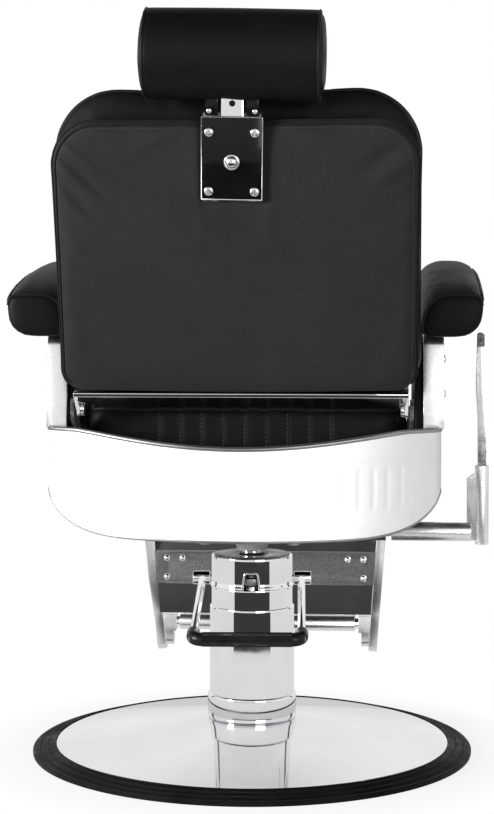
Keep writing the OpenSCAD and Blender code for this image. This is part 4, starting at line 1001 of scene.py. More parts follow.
@dataclass(frozen=True)
class Rubber(Finish):
    """Moulded rubber: fine ridges round the middle, matt with a dusty bloom."""

    pitch: float = 0.0028

    def wire(self, s: ShaderBench, shader: Node, place: Socket) -> None:
        """Ridges by the distance from the middle, bloom into the colour."""
        x, y, _ = s.node("ShaderNodeSeparateXYZ", {0: place}).outputs
        flat = s.node("ShaderNodeCombineXYZ", {0: x, 1: y})
        reach = s.node("ShaderNodeVectorMath", {0: flat.outputs[0]},
                       operation="LENGTH").outputs["Value"]
        lines = s.group(fine_lines(), Value=reach, Pitch=self.pitch).outputs[0]
        marks = self.marks(s, place)
        grain = s.group(speckle(), Vector=place, Scale=1400.0).outputs[0]
        self.feed(s, shader, self.tinted(s, marks), self.rough(s, marks),
                  s.plus(lines, s.times(grain, 0.25)), 0.0006)


@dataclass(frozen=True)
class Plywood(Finish):
    """Bare plywood: long grain on the face and thin plies at the edge."""

    def wire(self, s: ShaderBench, shader: Node, place: Socket) -> None:
        """Stretched noise for the grain and lines by height for the plies."""
        long = s.node("ShaderNodeMapping", {0: place, "Scale": (12.0, 90.0, 12.0)})
        grain = s.node("ShaderNodeTexNoise",
            {"Vector": long.outputs[0], "Scale": 1.0, "Detail": 5.0, "Distortion": 1.2}).outputs[0]
        plies = s.group(fine_lines(), Value=s.height(place), Pitch=0.003).outputs[0]
        wood = self.tinted(s, s.spread(grain, 0.35, 0.65))
        colour = s.blend(s.times(plies, 0.25), wood, (0.12, 0.07, 0.035, 1))
        self.feed(s, shader, colour, self.rough(s, grain, 0.3, 0.7), grain, 0.0005)


@dataclass(frozen=True)
class Thread(Finish):
    """Twisted sewing thread."""

    def wire(self, s: ShaderBench, shader: Node, place: Socket) -> None:
        """Slanting twist lines with a little fuzz."""
        x, y, z = s.node("ShaderNodeSeparateXYZ", {0: place}).outputs
        slant = s.plus(s.plus(x, y), z)
        twist = s.group(fine_lines(), Value=slant, Pitch=0.0009).outputs[0]
        fuzz = s.noise(place, 3000.0)
        self.feed(s, shader, self.tinted(s, twist), self.rough(s, fuzz, 0.3, 0.7),
                  s.plus(twist, fuzz), 0.0002)


@dataclass(frozen=True)
class WornLever(CastAlloy):
    """The lever's bright bar with its dull dark tip."""

    tip_z: float = 0.603
    dark: Colour = (0.09, 0.09, 0.095)

    def wire(self, s: ShaderBench, shader: Node, place: Socket) -> None:
        """The casting's mottle, with a textured dark end above tip_z."""
        super().wire(s, shader, place)
        above = s.spread(s.height(place), self.tip_z, self.tip_z + 0.001)
        mask = s.group(speckle(), Vector=place, Scale=420.0).outputs["Mask"]
        dark = s.blend(mask, (*self.dark, 1), (*[c * 3.0 for c in self.dark], 1))
        paint, rough = shader.inputs["Base Color"], shader.inputs["Roughness"]
        s.give(s.blend(above, paint.links[0].from_socket, dark), paint)
        s.give(s.plus(rough.links[0].from_socket, s.times(above, 0.3)), rough)


# One black vinyl in two copies. The darker one, used on the cushions, armrests, side covers, roll
# and calf pad, is painted shade. The rear panel's lighter one is painted light; the panel's is
# also a little more matt.
VINYL = Vinyl("Black vinyl, darker copy for painted shade", "vinyl", (0.0060, 0.0060, 0.0062), (0.0080, 0.0080, 0.0083),
              roughness=0.40, variation=0.05, bump=0.22, scale=620.0, gloss=0.08)
LIT_PANEL_VINYL = Vinyl("Matt vinyl of the rear panel", "vinyl", (0.0225, 0.0225, 0.0230),
    (0.0265, 0.0265, 0.0272), roughness=0.46, variation=0.05, bump=0.22, scale=620.0, gloss=0.07)
WELT = Vinyl("Welt vinyl", "vinyl", (0.0110, 0.0110, 0.0115), (0.0160, 0.0160, 0.0165),
             roughness=0.40, variation=0.05, bump=0.15, scale=620.0, gloss=0.1)
CHROME = Chrome("Chrome plate", "chrome", (0.84, 0.85, 0.86), (0.91, 0.91, 0.92),
                roughness=0.025, variation=0.04, bump=0.03, scale=7.0)
DOME_CHROME = Chrome("Chrome plate of the base", "chrome", (0.77, 0.78, 0.79), (0.85, 0.85, 0.86),
    roughness=0.02, variation=0.05, bump=0.05, scale=4.0)
PAN_CHROME = Chrome("Satin chrome of the pan", "chrome", (0.90, 0.90, 0.905), (0.94, 0.94, 0.94),
    roughness=0.42, variation=0.05, bump=0.02, scale=5.0, metal=0.3)
RIM_CHROME = Chrome("Rolled rim chrome", "chrome", (0.24, 0.24, 0.245), (0.32, 0.32, 0.325),
                    roughness=0.38, variation=0.08, bump=0.05, scale=9.0)
ALLOY = CastAlloy("Polished casting", "polished", (0.80, 0.80, 0.81), (0.88, 0.88, 0.89),
                  roughness=0.24, variation=0.04, bump=0.02, scale=9.0)
LEVER_ALLOY = WornLever("Lever casting", "polished", (0.62, 0.62, 0.63), (0.84, 0.84, 0.85),
    roughness=0.18, variation=0.12, bump=0.15, scale=16.0)
ZINC = PlatedSteel("Bright zinc", "zinc", (0.62, 0.62, 0.63), (0.82, 0.82, 0.83),
                   roughness=0.14, variation=0.12, bump=0.05, scale=40.0)
PUMP_STEEL = PlatedSteel("Pump steel", "pump_steel", (0.20, 0.20, 0.21), (0.32, 0.32, 0.33),
    roughness=0.30, variation=0.15, bump=0.1, scale=18.0)
ENAMEL = Coat("Black frame enamel", "enamel", (0.012, 0.012, 0.013), (0.020, 0.020, 0.021),
              roughness=0.42, variation=0.10, bump=0.18, scale=9.0, wear=0.45)
HUB_GREY = Coat("Bright hub paint", "enamel", (0.40, 0.40, 0.41), (0.56, 0.56, 0.57),
                roughness=0.30, variation=0.05, bump=0.1, scale=9.0, wear=0.2)
BRACKET_COAT = Coat("Rough black bracket", "enamel", (0.030, 0.030, 0.031), (0.10, 0.10, 0.10),
    roughness=0.6, variation=0.1, bump=0.5, scale=20.0, wear=0.8, speck=260.0)
CHANNEL = Coat("Hammered grey channel", "channel", (0.040, 0.040, 0.042), (0.21, 0.21, 0.215),
    roughness=0.38, variation=0.03, bump=0.35, scale=14.0, bare=(0.55, 0.55, 0.56), wear=0.0,
    speck=900.0)
RUBBER = Rubber("Base rubber", "rubber", (0.0045, 0.0045, 0.005), (0.010, 0.010, 0.0105),
                roughness=0.42, variation=0.08, bump=0.8, scale=11.0, gloss=0.05)
GRIP_RUBBER = Rubber("Grip rubber", "rubber", (0.006, 0.006, 0.0065), (0.012, 0.012, 0.0125),
    roughness=0.36, variation=0.08, bump=0.2, scale=20.0, gloss=0.2, pitch=0.004)
PLATE_BLACK = Gloss("Gloss black plate", "gloss_black", (0.004, 0.004, 0.0045),
    (0.006, 0.006, 0.0065), roughness=0.12, variation=0.08, bump=0.04, scale=24.0, gloss=0.1)
CAP_BLACK = Gloss("Black cap disc", "gloss_black", (0.010, 0.010, 0.0105),
                  (0.020, 0.020, 0.021), roughness=0.3, variation=0.15, bump=0.05, scale=30.0)
BOARD_BLACK = Coat("Painted board", "board", (0.010, 0.010, 0.0105), (0.016, 0.016, 0.017),
    roughness=0.5, variation=0.1, bump=0.15, scale=8.0, bare=(0.6, 0.6, 0.6), wear=0.0)
BOARD = Plywood("Bare plywood", "board", (0.42, 0.27, 0.14), (0.60, 0.42, 0.24),
                roughness=0.65, variation=0.1, bump=0.3)
THREAD = Thread("Black thread", "vinyl", (0.020, 0.020, 0.021), (0.045, 0.045, 0.047),
                roughness=0.6, variation=0.1, bump=0.5)


# ---------- hardware


@dataclass
class Hardware:
    """Screws and bolts, modelled once standing on the XY plane and then copied."""

    recess_w: float = 1.3

    def pan_head(self, name: str, r: float, h: float) -> Piece:
        """A domed screw head with a cross recess.

        Args:
            name: name of the piece.
            r: radius of the head in mm.
            h: height of the head in mm.
        Returns:
            The head.
        """
        head = BENCH.turned(name, [(0, 0), (r * 0.94, 0), (r, 0.12 * h), (r * 0.98, 0.35 * h),
            (r * 0.86, 0.66 * h), (r * 0.62, 0.88 * h), (r * 0.32, 0.98 * h), (0, h)], steps=36)
        long, w = r * 0.58, self.recess_w * r / 6.5
        bars = [BENCH.block("recess_a", (-long, -w, 0.35 * h), (long, w, 2 * h)),
                BENCH.block("recess_b", (-w, -long, 0.35 * h), (w, long, 2 * h))]
        return BENCH.smooth(BENCH.carve(head, *bars), 38)

    def dome_head(self, name: str, r: float, h: float) -> Piece:
        """A plain round bolt head with a small seat under it.

        Args:
            name: name of the piece.
            r: radius in mm.
            h: height in mm.
        Returns:
            The head.
        """
        return BENCH.turned(name, [(0, 0), (r * 1.15, 0), (r * 1.15, 0.16 * h), (r, 0.2 * h)]
            + [(r * cos(radians(a)), h * (0.2 + 0.8 * sin(radians(a)))) for a in range(10, 90, 10)]
            + [(0, h)], steps=32)

    def hex_head(self, name: str, r: float, h: float) -> Piece:
        """A hexagon bolt head with a washer under it.

        Args:
            name: name of the piece.
            r: radius over the corners in mm.
            h: height in mm.
        Returns:
            The head.
        """
        washer = BENCH.turned(name + "_washer",
            [(0, 0), (r * 1.3, 0), (r * 1.3, 0.2 * h), (r * 1.2, 0.26 * h), (0, 0.26 * h)], 36)
        corners = [polar(r, a) for a in range(0, 360, 60)]
        nut = BENCH.plate(name + "_nut", corners, Axis.Z, 0.24 * h, h, 0.08 * h)
        return BENCH.joined(name, nut, washer)

    def spread(self, head: Piece, name: str,
               places: Sequence[Matrix]) -> Piece:
        """Copies a head to each place and joins the copies.

        Args:
            head: the model head, which is used up.
            name: name of the whole.
            places: where each copy goes, in metres.
        Returns:
            All the heads as one object.
        """
        copies = [BENCH.twin(head, f"{name}_{k}", place) for k, place in enumerate(places)]
        bpy.data.objects.remove(head)
        return BENCH.joined(name, *copies)


def aimed(point: Point, direction: Point, turn: float = 0.0) -> Matrix:
    """Stands a head on a point in mm, along a direction and turned by some degrees."""
    face = Vector(direction).normalized().to_track_quat("Z", "Y").to_matrix().to_4x4()
    return (Matrix.Translation(Vector(point) * MM) @ face
            @ Matrix.Rotation(radians(turn), 4, "Z"))


HARDWARE = Hardware()
PUMP = Matrix.Rotation(radians(2.6), 4, "Z")
BACK = Matrix.Translation((0, 0.205, 0.522)) @ Matrix.Rotation(radians(-12), 4, "X")


def settled(angle: float, height: float, shift: float = 0.0) -> Matrix:
    """The back's frame, turned by some degrees about a height in it and moved across, in mm."""
    centre = Matrix.Translation(Vector((0, 0, height)) * MM)
    return (BACK @ Matrix.Translation((shift * MM, 0, 0)) @ centre
            @ Matrix.Rotation(radians(angle), 4, "Y") @ centre.inverted())


PADDED_BACK = settled(0.05, 31, 1.7)
LOCKED = settled(-1.3, 356, 4.5)


# ---------- base and column


@dataclass
class BaseAndColumn:
    """Floor ring, chrome dome, collar, column, cap and the pump inside."""

    ring_r: float = 327
    ring_in_r: float = 293
    ring_h: float = 15
    edge_h: float = 8
    ridges: int = 7
    dome_hole: float = 63.1
    dome_rim: float = 292.9
    dome_rise: float = 33
    cap_z: float = 245
    cap_top: float = 292
    lip_r: float = 61.0

    def dome_z(self, r: float) -> float:
        """Height of the dome over the floor at a radius."""
        share = (r - self.dome_hole) / (self.dome_rim - self.dome_hole)
        return self.ring_h + self.dome_rise * (1 - share ** 1.12)

    def ring(self) -> Piece:
        """The rubber ring with its moulded ridges."""
        tread, steps = self.ring_r - self.ring_in_r - 8, self.ridges * 6
        slope = []
        for k in range(steps + 1):
            s = k / steps
            slope.append((self.ring_r - 5 - s * tread,
                self.edge_h + (self.ring_h - self.edge_h) * s + 0.55 * sin(tau * s * self.ridges)))
        return BENCH.turned("base_rubber",
            [(self.ring_in_r, 0), (self.ring_r - 1.5, 0), (self.ring_r - 0.4, 0.5),
            (self.ring_r, 1.6), (self.ring_r, self.edge_h - 2.2),
            (self.ring_r - 1.2, self.edge_h - 0.8), (self.ring_r - 3.2, self.edge_h - 0.1)] + slope
            + [(self.ring_in_r + 1.6, self.ring_h + 1), (self.ring_in_r + 0.4, self.ring_h + 0.6),
            (self.ring_in_r, self.ring_h - 0.4)], 224, True)

    def dome(self) -> Piece:
        """The dished chrome cover, two millimetres thick with a turned down rim."""
        outer = [self.dome_hole + (self.dome_rim - 3 - self.dome_hole) * k / 60 for k in range(61)]
        skin = [(r, self.dome_z(r)) for r in outer]
        rim = [(self.dome_rim - 1.8, self.ring_h + 0.35), (self.dome_rim - 0.7, self.ring_h - 0.4),
               (self.dome_rim, self.ring_h - 2), (self.dome_rim, 9.2), (self.dome_rim - 2, 9.2)]
        under = [(r, max(9.4, self.dome_z(r) - 2)) for r in reversed(outer[::4])]
        return BENCH.turned("base_dome_chrome", skin + rim + under, 256, True, 30)

    def collar(self) -> Piece:
        """The collar at the foot of the column, rounded in at its foot."""
        return BENCH.turned("collar_chrome", [
            (63.1, 48), (63.6, 48), (64.7, 48.8), (65.6, 50.4), (66.1, 52.6), (66.2, 55),
            (66.2, 57), (66.2, 81), (66.2, 82.6), (65.8, 84.2), (65, 85.4), (64, 85.9),
            (63.1, 86)], 160, True)

    def tube(self) -> Piece:
        """The lower tube and the narrower sleeve above its step."""
        return BENCH.turned("column_chrome", [
            (60.5, 21), (62.6, 21), (63, 21.4), (63, 23), (63, 213), (63, 214.6),
            (62.7, 215.6), (62, 216), (60.9, 216), (60.5, 216.4), (60.5, 218), (60.5, 243),
            (60.5, 244.4), (60.2, 245), (58, 245), (58, 210), (60.5, 207)], 160, True)

    def cap(self) -> Piece:
        """The cap with its beaded lip, its slot at the back and the shaft's bore."""
        z, top = self.cap_z, self.cap_top
        cap = BENCH.turned("cap_body", [(57.5, z), (61.7, z), (62.2, z + 0.6), (62.3, z + 1.6),
            (62.2, z + 3.4), (61.6, z + 4.6), (61.0, z + 5.8), (60.6, z + 7.5), (60.5, z + 9),
            (60.5, z + 11), (60.5, top - 4), (60.5, top - 2.4), (60.3, top - 1.1),
            (59.6, top - 0.3), (58.5, top), (24, top), (24, top - 6), (57.5, top - 6)], 160, True)
        slot = [(-12.5, z - 1), (12.5, z - 1), (12.5, z + 4), (10.0, z + 22.5), (8.6, z + 25.2),
            (6.4, z + 26), (-6.4, z + 26), (-8.6, z + 25.2), (-10.0, z + 22.5), (-12.5, z + 4)]
        bore = BENCH.turned("bore", [(0, -80), (7.06, -80), (7.06, 80), (0, 80)], 40)
        BENCH.moved(bore, aimed((0, 0, 256), (1, 0, 0)))
        BENCH.carve(cap, BENCH.plate("slot", slot, Axis.Y, 30, 80), bore)
        lips = []
        for x, h in spaced(slot[2:] + [(-12.5, z - 0.2)], 1.6):
            lips.append((x, sqrt(self.lip_r ** 2 - x * x), h))
        lips.insert(0, (12.5, sqrt(self.lip_r ** 2 - 12.5 ** 2), z))
        lip = BENCH.swept("slot_lip", lips, 1.5)
        return BENCH.moved(BENCH.smooth(BENCH.joined("cap_chrome", cap, lip), 32), PUMP)

    def spring(self) -> Piece:
        """The return spring on the plunger, a real coil."""
        coil = []
        for k in range(8 * 20 + 1):
            a = tau * k / 20
            coil.append((7.3 * cos(a), 43 + 7.3 * sin(a), 196.2 + 43.0 * k / 160))
        return BENCH.moved(BENCH.swept("plunger_coil", coil, 0.65, round_steps=2), PUMP)

    def build(self) -> None:
        """Makes and dresses the base, the column and the pump."""
        BENCH.place(self.ring(), "base", RUBBER, "base_ring")
        BENCH.place(self.dome(), "base", DOME_CHROME, "base_dome")
        BENCH.place(self.collar(), "base", CHROME, "column_collar")
        BENCH.place(self.tube(), "base", CHROME, "column_tube")
        BENCH.place(self.cap(), "base", CHROME, "column_cap")
        seal = BENCH.turned("seal_lip", [(18.1, 285.2), (23.9, 285.2), (23.9, 292.4), (22.6, 293),
            (20.2, 293.0), (19.0, 294.6), (18.1, 294.6)], 72, True)
        BENCH.place(seal, "base", GRIP_RUBBER, "rod_seal")
        disc = BENCH.turned("cap_disc", [(24.2, 291.9), (57.2, 291.9), (57.2, 292.5),
            (56.4, 292.9), (25, 292.9), (24.2, 292.5)], 96, True)
        BENCH.place(disc, "base", CAP_BLACK)
        rod = BENCH.turned("rod_chrome", [(0, 85), (17, 85), (18, 86), (18, 320.7), (17, 321.7),
            (0, 321.7)], 96)
        BENCH.place(rod, "lift", CHROME, "piston_rod")
        spring = BENCH.place(self.spring(), "base", ZINC, "plunger_spring")
        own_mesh(spring)
        plunger = BENCH.turned("plunger_steel", [
            (0, 150), (5.5, 150), (6, 150.5), (6, 240.6), (7.4, 240.8), (8, 241.4),
            (8, 249.6), (7.3, 250.5), (0, 250.7)], 40)
        BENCH.moved(plunger, PUMP @ Matrix.Translation((0, 0.043, 0)))
        BENCH.place(plunger, "plunger", ZINC, "pump_plunger")
        for node, finish in (("floor_plate", ENAMEL), ("pump_flange", PUMP_STEEL),
                             ("flange_bolts", ZINC), ("pump_cylinder", PUMP_STEEL)):
            BENCH.dressed(node + "_dressed", node, "base", finish, 0.5)
        BENCH.dressed("piston_dressed", "piston_head", "lift", PUMP_STEEL, 0.4)


@dataclass
class FootPedal:
    """The pump pedal: shafts, sleeves, two leaning rods and the ridged rubber grip."""

    pivot_z: float = 256
    half_w: float = 74
    reach: float = 276
    grip_z: float = 215
    rod_r: float = 5.5
    grip_r: float = 9.6
    bend: float = 13
    grooves: int = 30

    def sleeve(self) -> Piece:
        """One pivot sleeve with eased rims."""
        sleeve = BENCH.turned("sleeve", [
            (7.1, 62.6), (9.2, 62.6), (10, 63.4), (10, 87.4), (9.4, 88.3), (8.4, 88.6),
            (0, 88.6), (0, 85.8), (7.1, 85.8)], 56)
        return BENCH.moved(sleeve, aimed((0, 0, self.pivot_z), (1, 0, 0)))

    def rod(self) -> Piece:
        """One rod from the sleeve down to the grip's corner."""
        return BENCH.swept("pedal_rod", [(self.half_w, 6, self.pivot_z - 0.9),
            (self.half_w, self.reach, self.grip_z)], self.rod_r, round_steps=6)

    def grip(self) -> Piece:
        """The rubber grip: a ridged bar with bent ends that reach over the rods."""
        outline = []
        for k in range(self.grooves * 4):
            a = tau * k / (self.grooves * 4)
            r = self.grip_r + 0.35 * cos(a * self.grooves)
            outline.append((r * cos(a), r * sin(a)))
        bar = BENCH.plate("grip_bar", [(self.reach + u, self.grip_z + v) for u, v in outline],
                          Axis.X, self.bend - self.half_w, self.half_w - self.bend)
        slope = (self.pivot_z - self.grip_z) / self.reach
        bend = [(x, y, self.grip_z + (self.reach - y) * slope) for x, y in
                [(self.half_w, self.reach - 27), (self.half_w, self.reach - 25)]
                + arc(self.half_w - self.bend, self.reach - self.bend, self.bend, 0, 90, 10)]
        tube = BENCH.swept("grip_tube", bend + [(-x, y, z) for x, y, z in reversed(bend)],
                           self.grip_r - 0.3, round_steps=8)
        return BENCH.joined("grip_rubber", bar, tube)

    def build(self) -> None:
        """Makes and dresses the pedal."""
        known = len(bpy.context.scene.objects)
        frame_mesh = BENCH.both(BENCH.joined("pedal_side", self.sleeve(), self.rod()),
            "pedal_chrome")
        BENCH.place(BENCH.moved(frame_mesh, PUMP), "pedal", CHROME, "pedal_frame")
        BENCH.place(BENCH.moved(BENCH.smooth(self.grip(), 60), PUMP), "pedal", GRIP_RUBBER,
                    "pedal_grip")
        BENCH.dressed("shafts_dressed", "pedal_shafts", "pedal", ZINC, 0.5)
        BENCH.dressed("yoke_dressed", "pump_yoke", "pedal", PUMP_STEEL, 0.8)
        for piece in bpy.context.scene.objects[known:]:
            piece.visible_glossy = False


# ---------- seat


@dataclass
class SeatFrame:
    """The black steel frame under the seat, with its hub and bolts."""

    bolt_half: float = 65

    def build(self) -> None:
        """Dresses the frame's pressed parts with eased edges."""
        for node, finish, ease in (("seat_hub", HUB_GREY, 0.8), ("frame_floor", ENAMEL, 0.8),
                ("frame_side_left", ENAMEL, 0.7), ("frame_side_right", ENAMEL, 0.7),
                ("cross_channels", ENAMEL, 0.9)):
            BENCH.dressed(node + "_coated", node, "seat", finish, ease).visible_glossy = False
        heads = HARDWARE.hex_head("hub_head", 9, 7)
        places = [aimed((x * self.bolt_half, y * self.bolt_half, z), (0, 0, up), 12 * x + 7 * y)
                  for x in (-1, 1) for y in (-1, 1) for z, up in ((322, -1), (332, 1))]
        BENCH.place(HARDWARE.spread(heads, "hub_bolt_heads", places), "seat", PUMP_STEEL,
                    "hub_bolts")
        board = BENCH.dressed("seat_plywood", "seat_board", "seat", BOARD, 1.2)
        board.visible_glossy = False


@dataclass
class SeatPan:
    """The fluted pan: one pressed wall round the back and sides, with rolled rims."""

    half_w: float = 277
    back_y: float = 280
    front_y: float = 272
    bow: float = 98
    low_z: float = 347
    height: float = 147.5
    dip: float = 20.5
    wall: float = 3
    corner_w: float = 150
    corner_h: float = 70
    sag: float = 4
    back_r: float = 26
    front_r: float = 38
    mouth: float = 236
    flutes: int = 23
    pitch: float = 21
    flute_h: float = 58
    depth: float = 0.32
    step: float = 0.25
    field_y: float = 120
    rows: int = 56

    def arc_r(self) -> float:
        """Radius of the bowed back."""
        return (self.half_w ** 2 + self.bow ** 2) / (2 * self.bow)

    def plan(self, inset: float = 0.0) -> list[Flat]:
        """The wall's outer face seen from above, from one mouth round to the other.

        Args:
            inset: distance inside the outer face in mm.
        Returns:
            Points in mm.
        """
        big = self.arc_r()
        cx = self.half_w - self.back_r
        cy = self.back_y - big + sqrt((big - self.back_r) ** 2 - cx * cx)
        lean = degrees(asin(cx / (big - self.back_r)))
        half = (arc(0, self.back_y - big, big - inset, 90, 90 - lean, 190)[:-1]
                + arc(cx, cy, self.back_r - inset, 90 - lean, 0, 14)[:-1])
        fy = -self.front_y + self.front_r
        side = spaced([(self.half_w - inset, cy), (self.half_w - inset, fy)], 5.0)
        front = arc(self.half_w - self.front_r, fy, self.front_r - inset, 0, -90, 14)
        half += side[:-1] + front + [(self.mouth, -self.front_y + inset)]
        mirrored = [(-x, y) for x, y in reversed(half[1:])]
        return mirrored + half

    def top(self, x: float) -> float:
        """Height of the upper edge at a distance from the middle."""
        share = min(1.0, abs(x) / (self.half_w - 45))
        return self.low_z + self.height - self.dip * (1 - share ** 2) ** 1.3

    def bottom(self, x: float) -> float:
        """Height of the lower edge at a distance from the middle."""
        over = min(1.0, max(0.0, abs(x) - self.half_w + self.corner_w) / self.corner_w)
        rise = self.corner_h * (1 - sqrt(1 - over ** 3.2))
        return self.low_z + rise + self.sag * min(1.0, abs(x) / self.half_w) ** 2

    def relief(self, x: np.ndarray, y: np.ndarray, z: np.ndarray) -> np.ndarray:
        """Depth pressed into the wall: flutes, and the step round their field.

        Args:
            x: places across in mm.
            y: places along in mm.
            z: heights in mm.
        Returns:
            Depth in mm, measured inwards.
        """
        turn = np.arctan2(x, y - (self.back_y - self.arc_r()))
        across = turn * self.arc_r()
        middle = self.low_z + 0.44 * self.height + 10 * (x / self.half_w) ** 2
        phase = across / self.pitch - np.round(across / self.pitch)
        half = self.flute_h / 2
        over = np.maximum(0.0, np.abs(z - middle) - (half - 4.5)) / 4.5
        reach = np.sqrt((phase * self.pitch / 5.2) ** 2 + over ** 2)
        inside = (np.abs(across) < (self.flutes / 2) * self.pitch) & (y > self.field_y)
        flute = np.where(inside, self.depth * np.clip(1 - reach ** 2, 0, 1), 0.0)
        span = (self.flutes / 2 + 0.35) * self.pitch
        field = (np.maximum(np.abs(across) / span, 0) ** 14
                 + (np.abs(z - middle) / (half + 9)) ** 6) ** 0.2
        step = self.step / (1 + np.exp((field - 1) * 26))
        return flute + np.where(y > self.field_y, step, 0.0)

    def build(self) -> None:
        """Presses the wall from a grid, gives it a thickness and rolls its rims."""
        path = self.plan()
        BENCH.clear()
        bpy.ops.mesh.primitive_grid_add(x_subdivisions=len(path) - 1, y_subdivisions=self.rows)
        pan = BENCH.named("pan_chrome")
        across, up = len(path), self.rows + 1
        grid = np.array(path)
        ahead = np.roll(grid, -1, 0) - np.roll(grid, 1, 0)
        ahead[0], ahead[-1] = grid[1] - grid[0], grid[-1] - grid[-2]
        ahead /= np.linalg.norm(ahead, axis=1, keepdims=True)
        out = np.stack([-ahead[:, 1], ahead[:, 0]], 1)
        low = np.array([self.bottom(x) for x, _ in path])
        high = np.array([self.top(x) for x, _ in path])
        share = np.linspace(0, 1, up)[:, None]
        z = low + (high - low) * share
        x = np.broadcast_to(grid[:, 0], z.shape)
        y = np.broadcast_to(grid[:, 1], z.shape)
        depth = self.relief(x, y, z)
        points = np.stack([x - out[:, 0] * depth, y - out[:, 1] * depth, z], 2) * MM
        BENCH.write(pan, points)
        with BENCH.editing(pan):
            BENCH.face_out()
        face = pan.data.polygons[(self.rows // 2) * (across - 1) + across // 2]
        if face.normal.y < 0:
            pan.data.flip_normals()
        BENCH.modify(pan, "SOLIDIFY", thickness=self.wall * MM, offset=-1.0)
        BENCH.smooth(pan, 40)
        inner = self.plan(self.wall / 2)
        rims = []
        for name, edge, r in (("rim_top", self.top, 3.4), ("rim_low", self.bottom, 2.1)):
            line = [(px, py, edge(px) + 2.4 - r) for px, py in inner[::2] + [inner[-1]]]
            rims.append(BENCH.swept(name, line, r, round_steps=4))
        for side in (-1, 1):
            ends = [(side * self.mouth, -self.front_y + self.wall / 2, h)
                    for h in (self.bottom(self.mouth), self.top(self.mouth))]
            rims.append(BENCH.swept(f"rim_end_{side}", ends, 2.3, round_steps=4))
        BENCH.place(pan, "seat", PAN_CHROME, "seat_pan")
        BENCH.place(BENCH.joined("pan_rim", *rims), "seat", RIM_CHROME)


@dataclass
class SeatCushion:
    """The crowned seat cushion with its sewn channels and dotted back seams."""

    half_w: float = 231
    front: float = -306
    back: float = 162
    low: float = 445
    seam: float = 529
    crown: float = 549
    seams: int = 9
    pitch: float = 30.4
    depth: float = 3.4

    def crowned(self, points: np.ndarray, _: np.ndarray) -> np.ndarray:
        """Raises the cushion towards its middle, the more the nearer to its top."""
        x, y, z = (points / MM).T
        along = (y - (self.front + self.back) / 2) / ((self.back - self.front) / 2)
        dome = (1 - np.abs(x / self.half_w) ** 3.2) * (1 - np.abs(along) ** 5)
        share = np.clip((z - self.low) / (self.seam - self.low), 0, 1) ** 2
        rise = (self.crown - self.seam) * np.clip(dome, 0, 1) * share
        return np.stack([x, y, z + rise], 1) * MM

    def channels(self, points: np.ndarray, normals: np.ndarray) -> np.ndarray:
        """Sinks the sewn seams into the cover.

        Args:
            points: the cover's points in metres.
            normals: its normals.
        Returns:
            The new points.
        """
        x, y, z = (points / MM).T
        near = seam_gap(x, self.seams, self.pitch)
        groove = bell(near, 3.0) * self.depth + bell(near, 8.0) * self.depth * 0.4
        top = np.clip((normals[:, 2] - 0.2) / 0.5, 0, 1)
        rear = np.clip((normals[:, 1] - 0.35) / 0.4, 0, 1) * 0.45
        wrinkle = 0.6 * np.sin(y / 13 + np.sin(x / 21) * 2) * bell(near - 10, 6)
        sink = groove * np.maximum(top, rear) + wrinkle * top
        return points - normals * sink[:, None] * MM

    def build(self) -> None:
        """Fills the cushion and sews its seams."""
        pad = BENCH.plate("seat_cushion_cover", rounded(
            self.half_w - 5, self.front + 5, self.back - 4, 34, 44), Axis.Z, self.low,
            self.seam, 18, 5)
        BENCH.inflate(pad, 5.5, 9)
        BENCH.fitted(pad, (-self.half_w, self.front, self.low),
                     (self.half_w, self.back, self.seam))
        BENCH.reshape(pad, self.crowned)
        BENCH.reshape(pad, self.channels)
        rows = []
        for k in range(-(self.seams // 2), self.seams // 2 + 1):
            x = k * self.pitch
            top = [(x, float(y), self.crown)
                for y in range(int(self.back) - 9, int(self.front) + 6, -3)]
            rows.append(BENCH.on_skin(pad, top, 0.1, (0, 0, -1)))
            rear = [(x, self.back, float(z)) for z in range(450, int(self.seam) - 2, 3)]
            rows.append(BENCH.on_skin(pad, rear, 0.15, (0, -1, 0)))
        BENCH.place(pad, "seat", VINYL, "seat_cushion")
        BENCH.place(BENCH.stitches("seat_stitches", rows, 6.0, 3.8, 0.6), "seat", THREAD)
        edge = []
        for x, y in rounded(self.half_w - 1, self.front + 2, self.back - 1, 30, 40, 10):
            edge.append((x, y, self.seam - 2))
        path, _ = BENCH.on_skin(pad, spaced(edge, 6.0, True), 0.6)
        BENCH.place(BENCH.swept("seat_piping", path, 2.6, True), "seat", WELT)


# ---------- arms


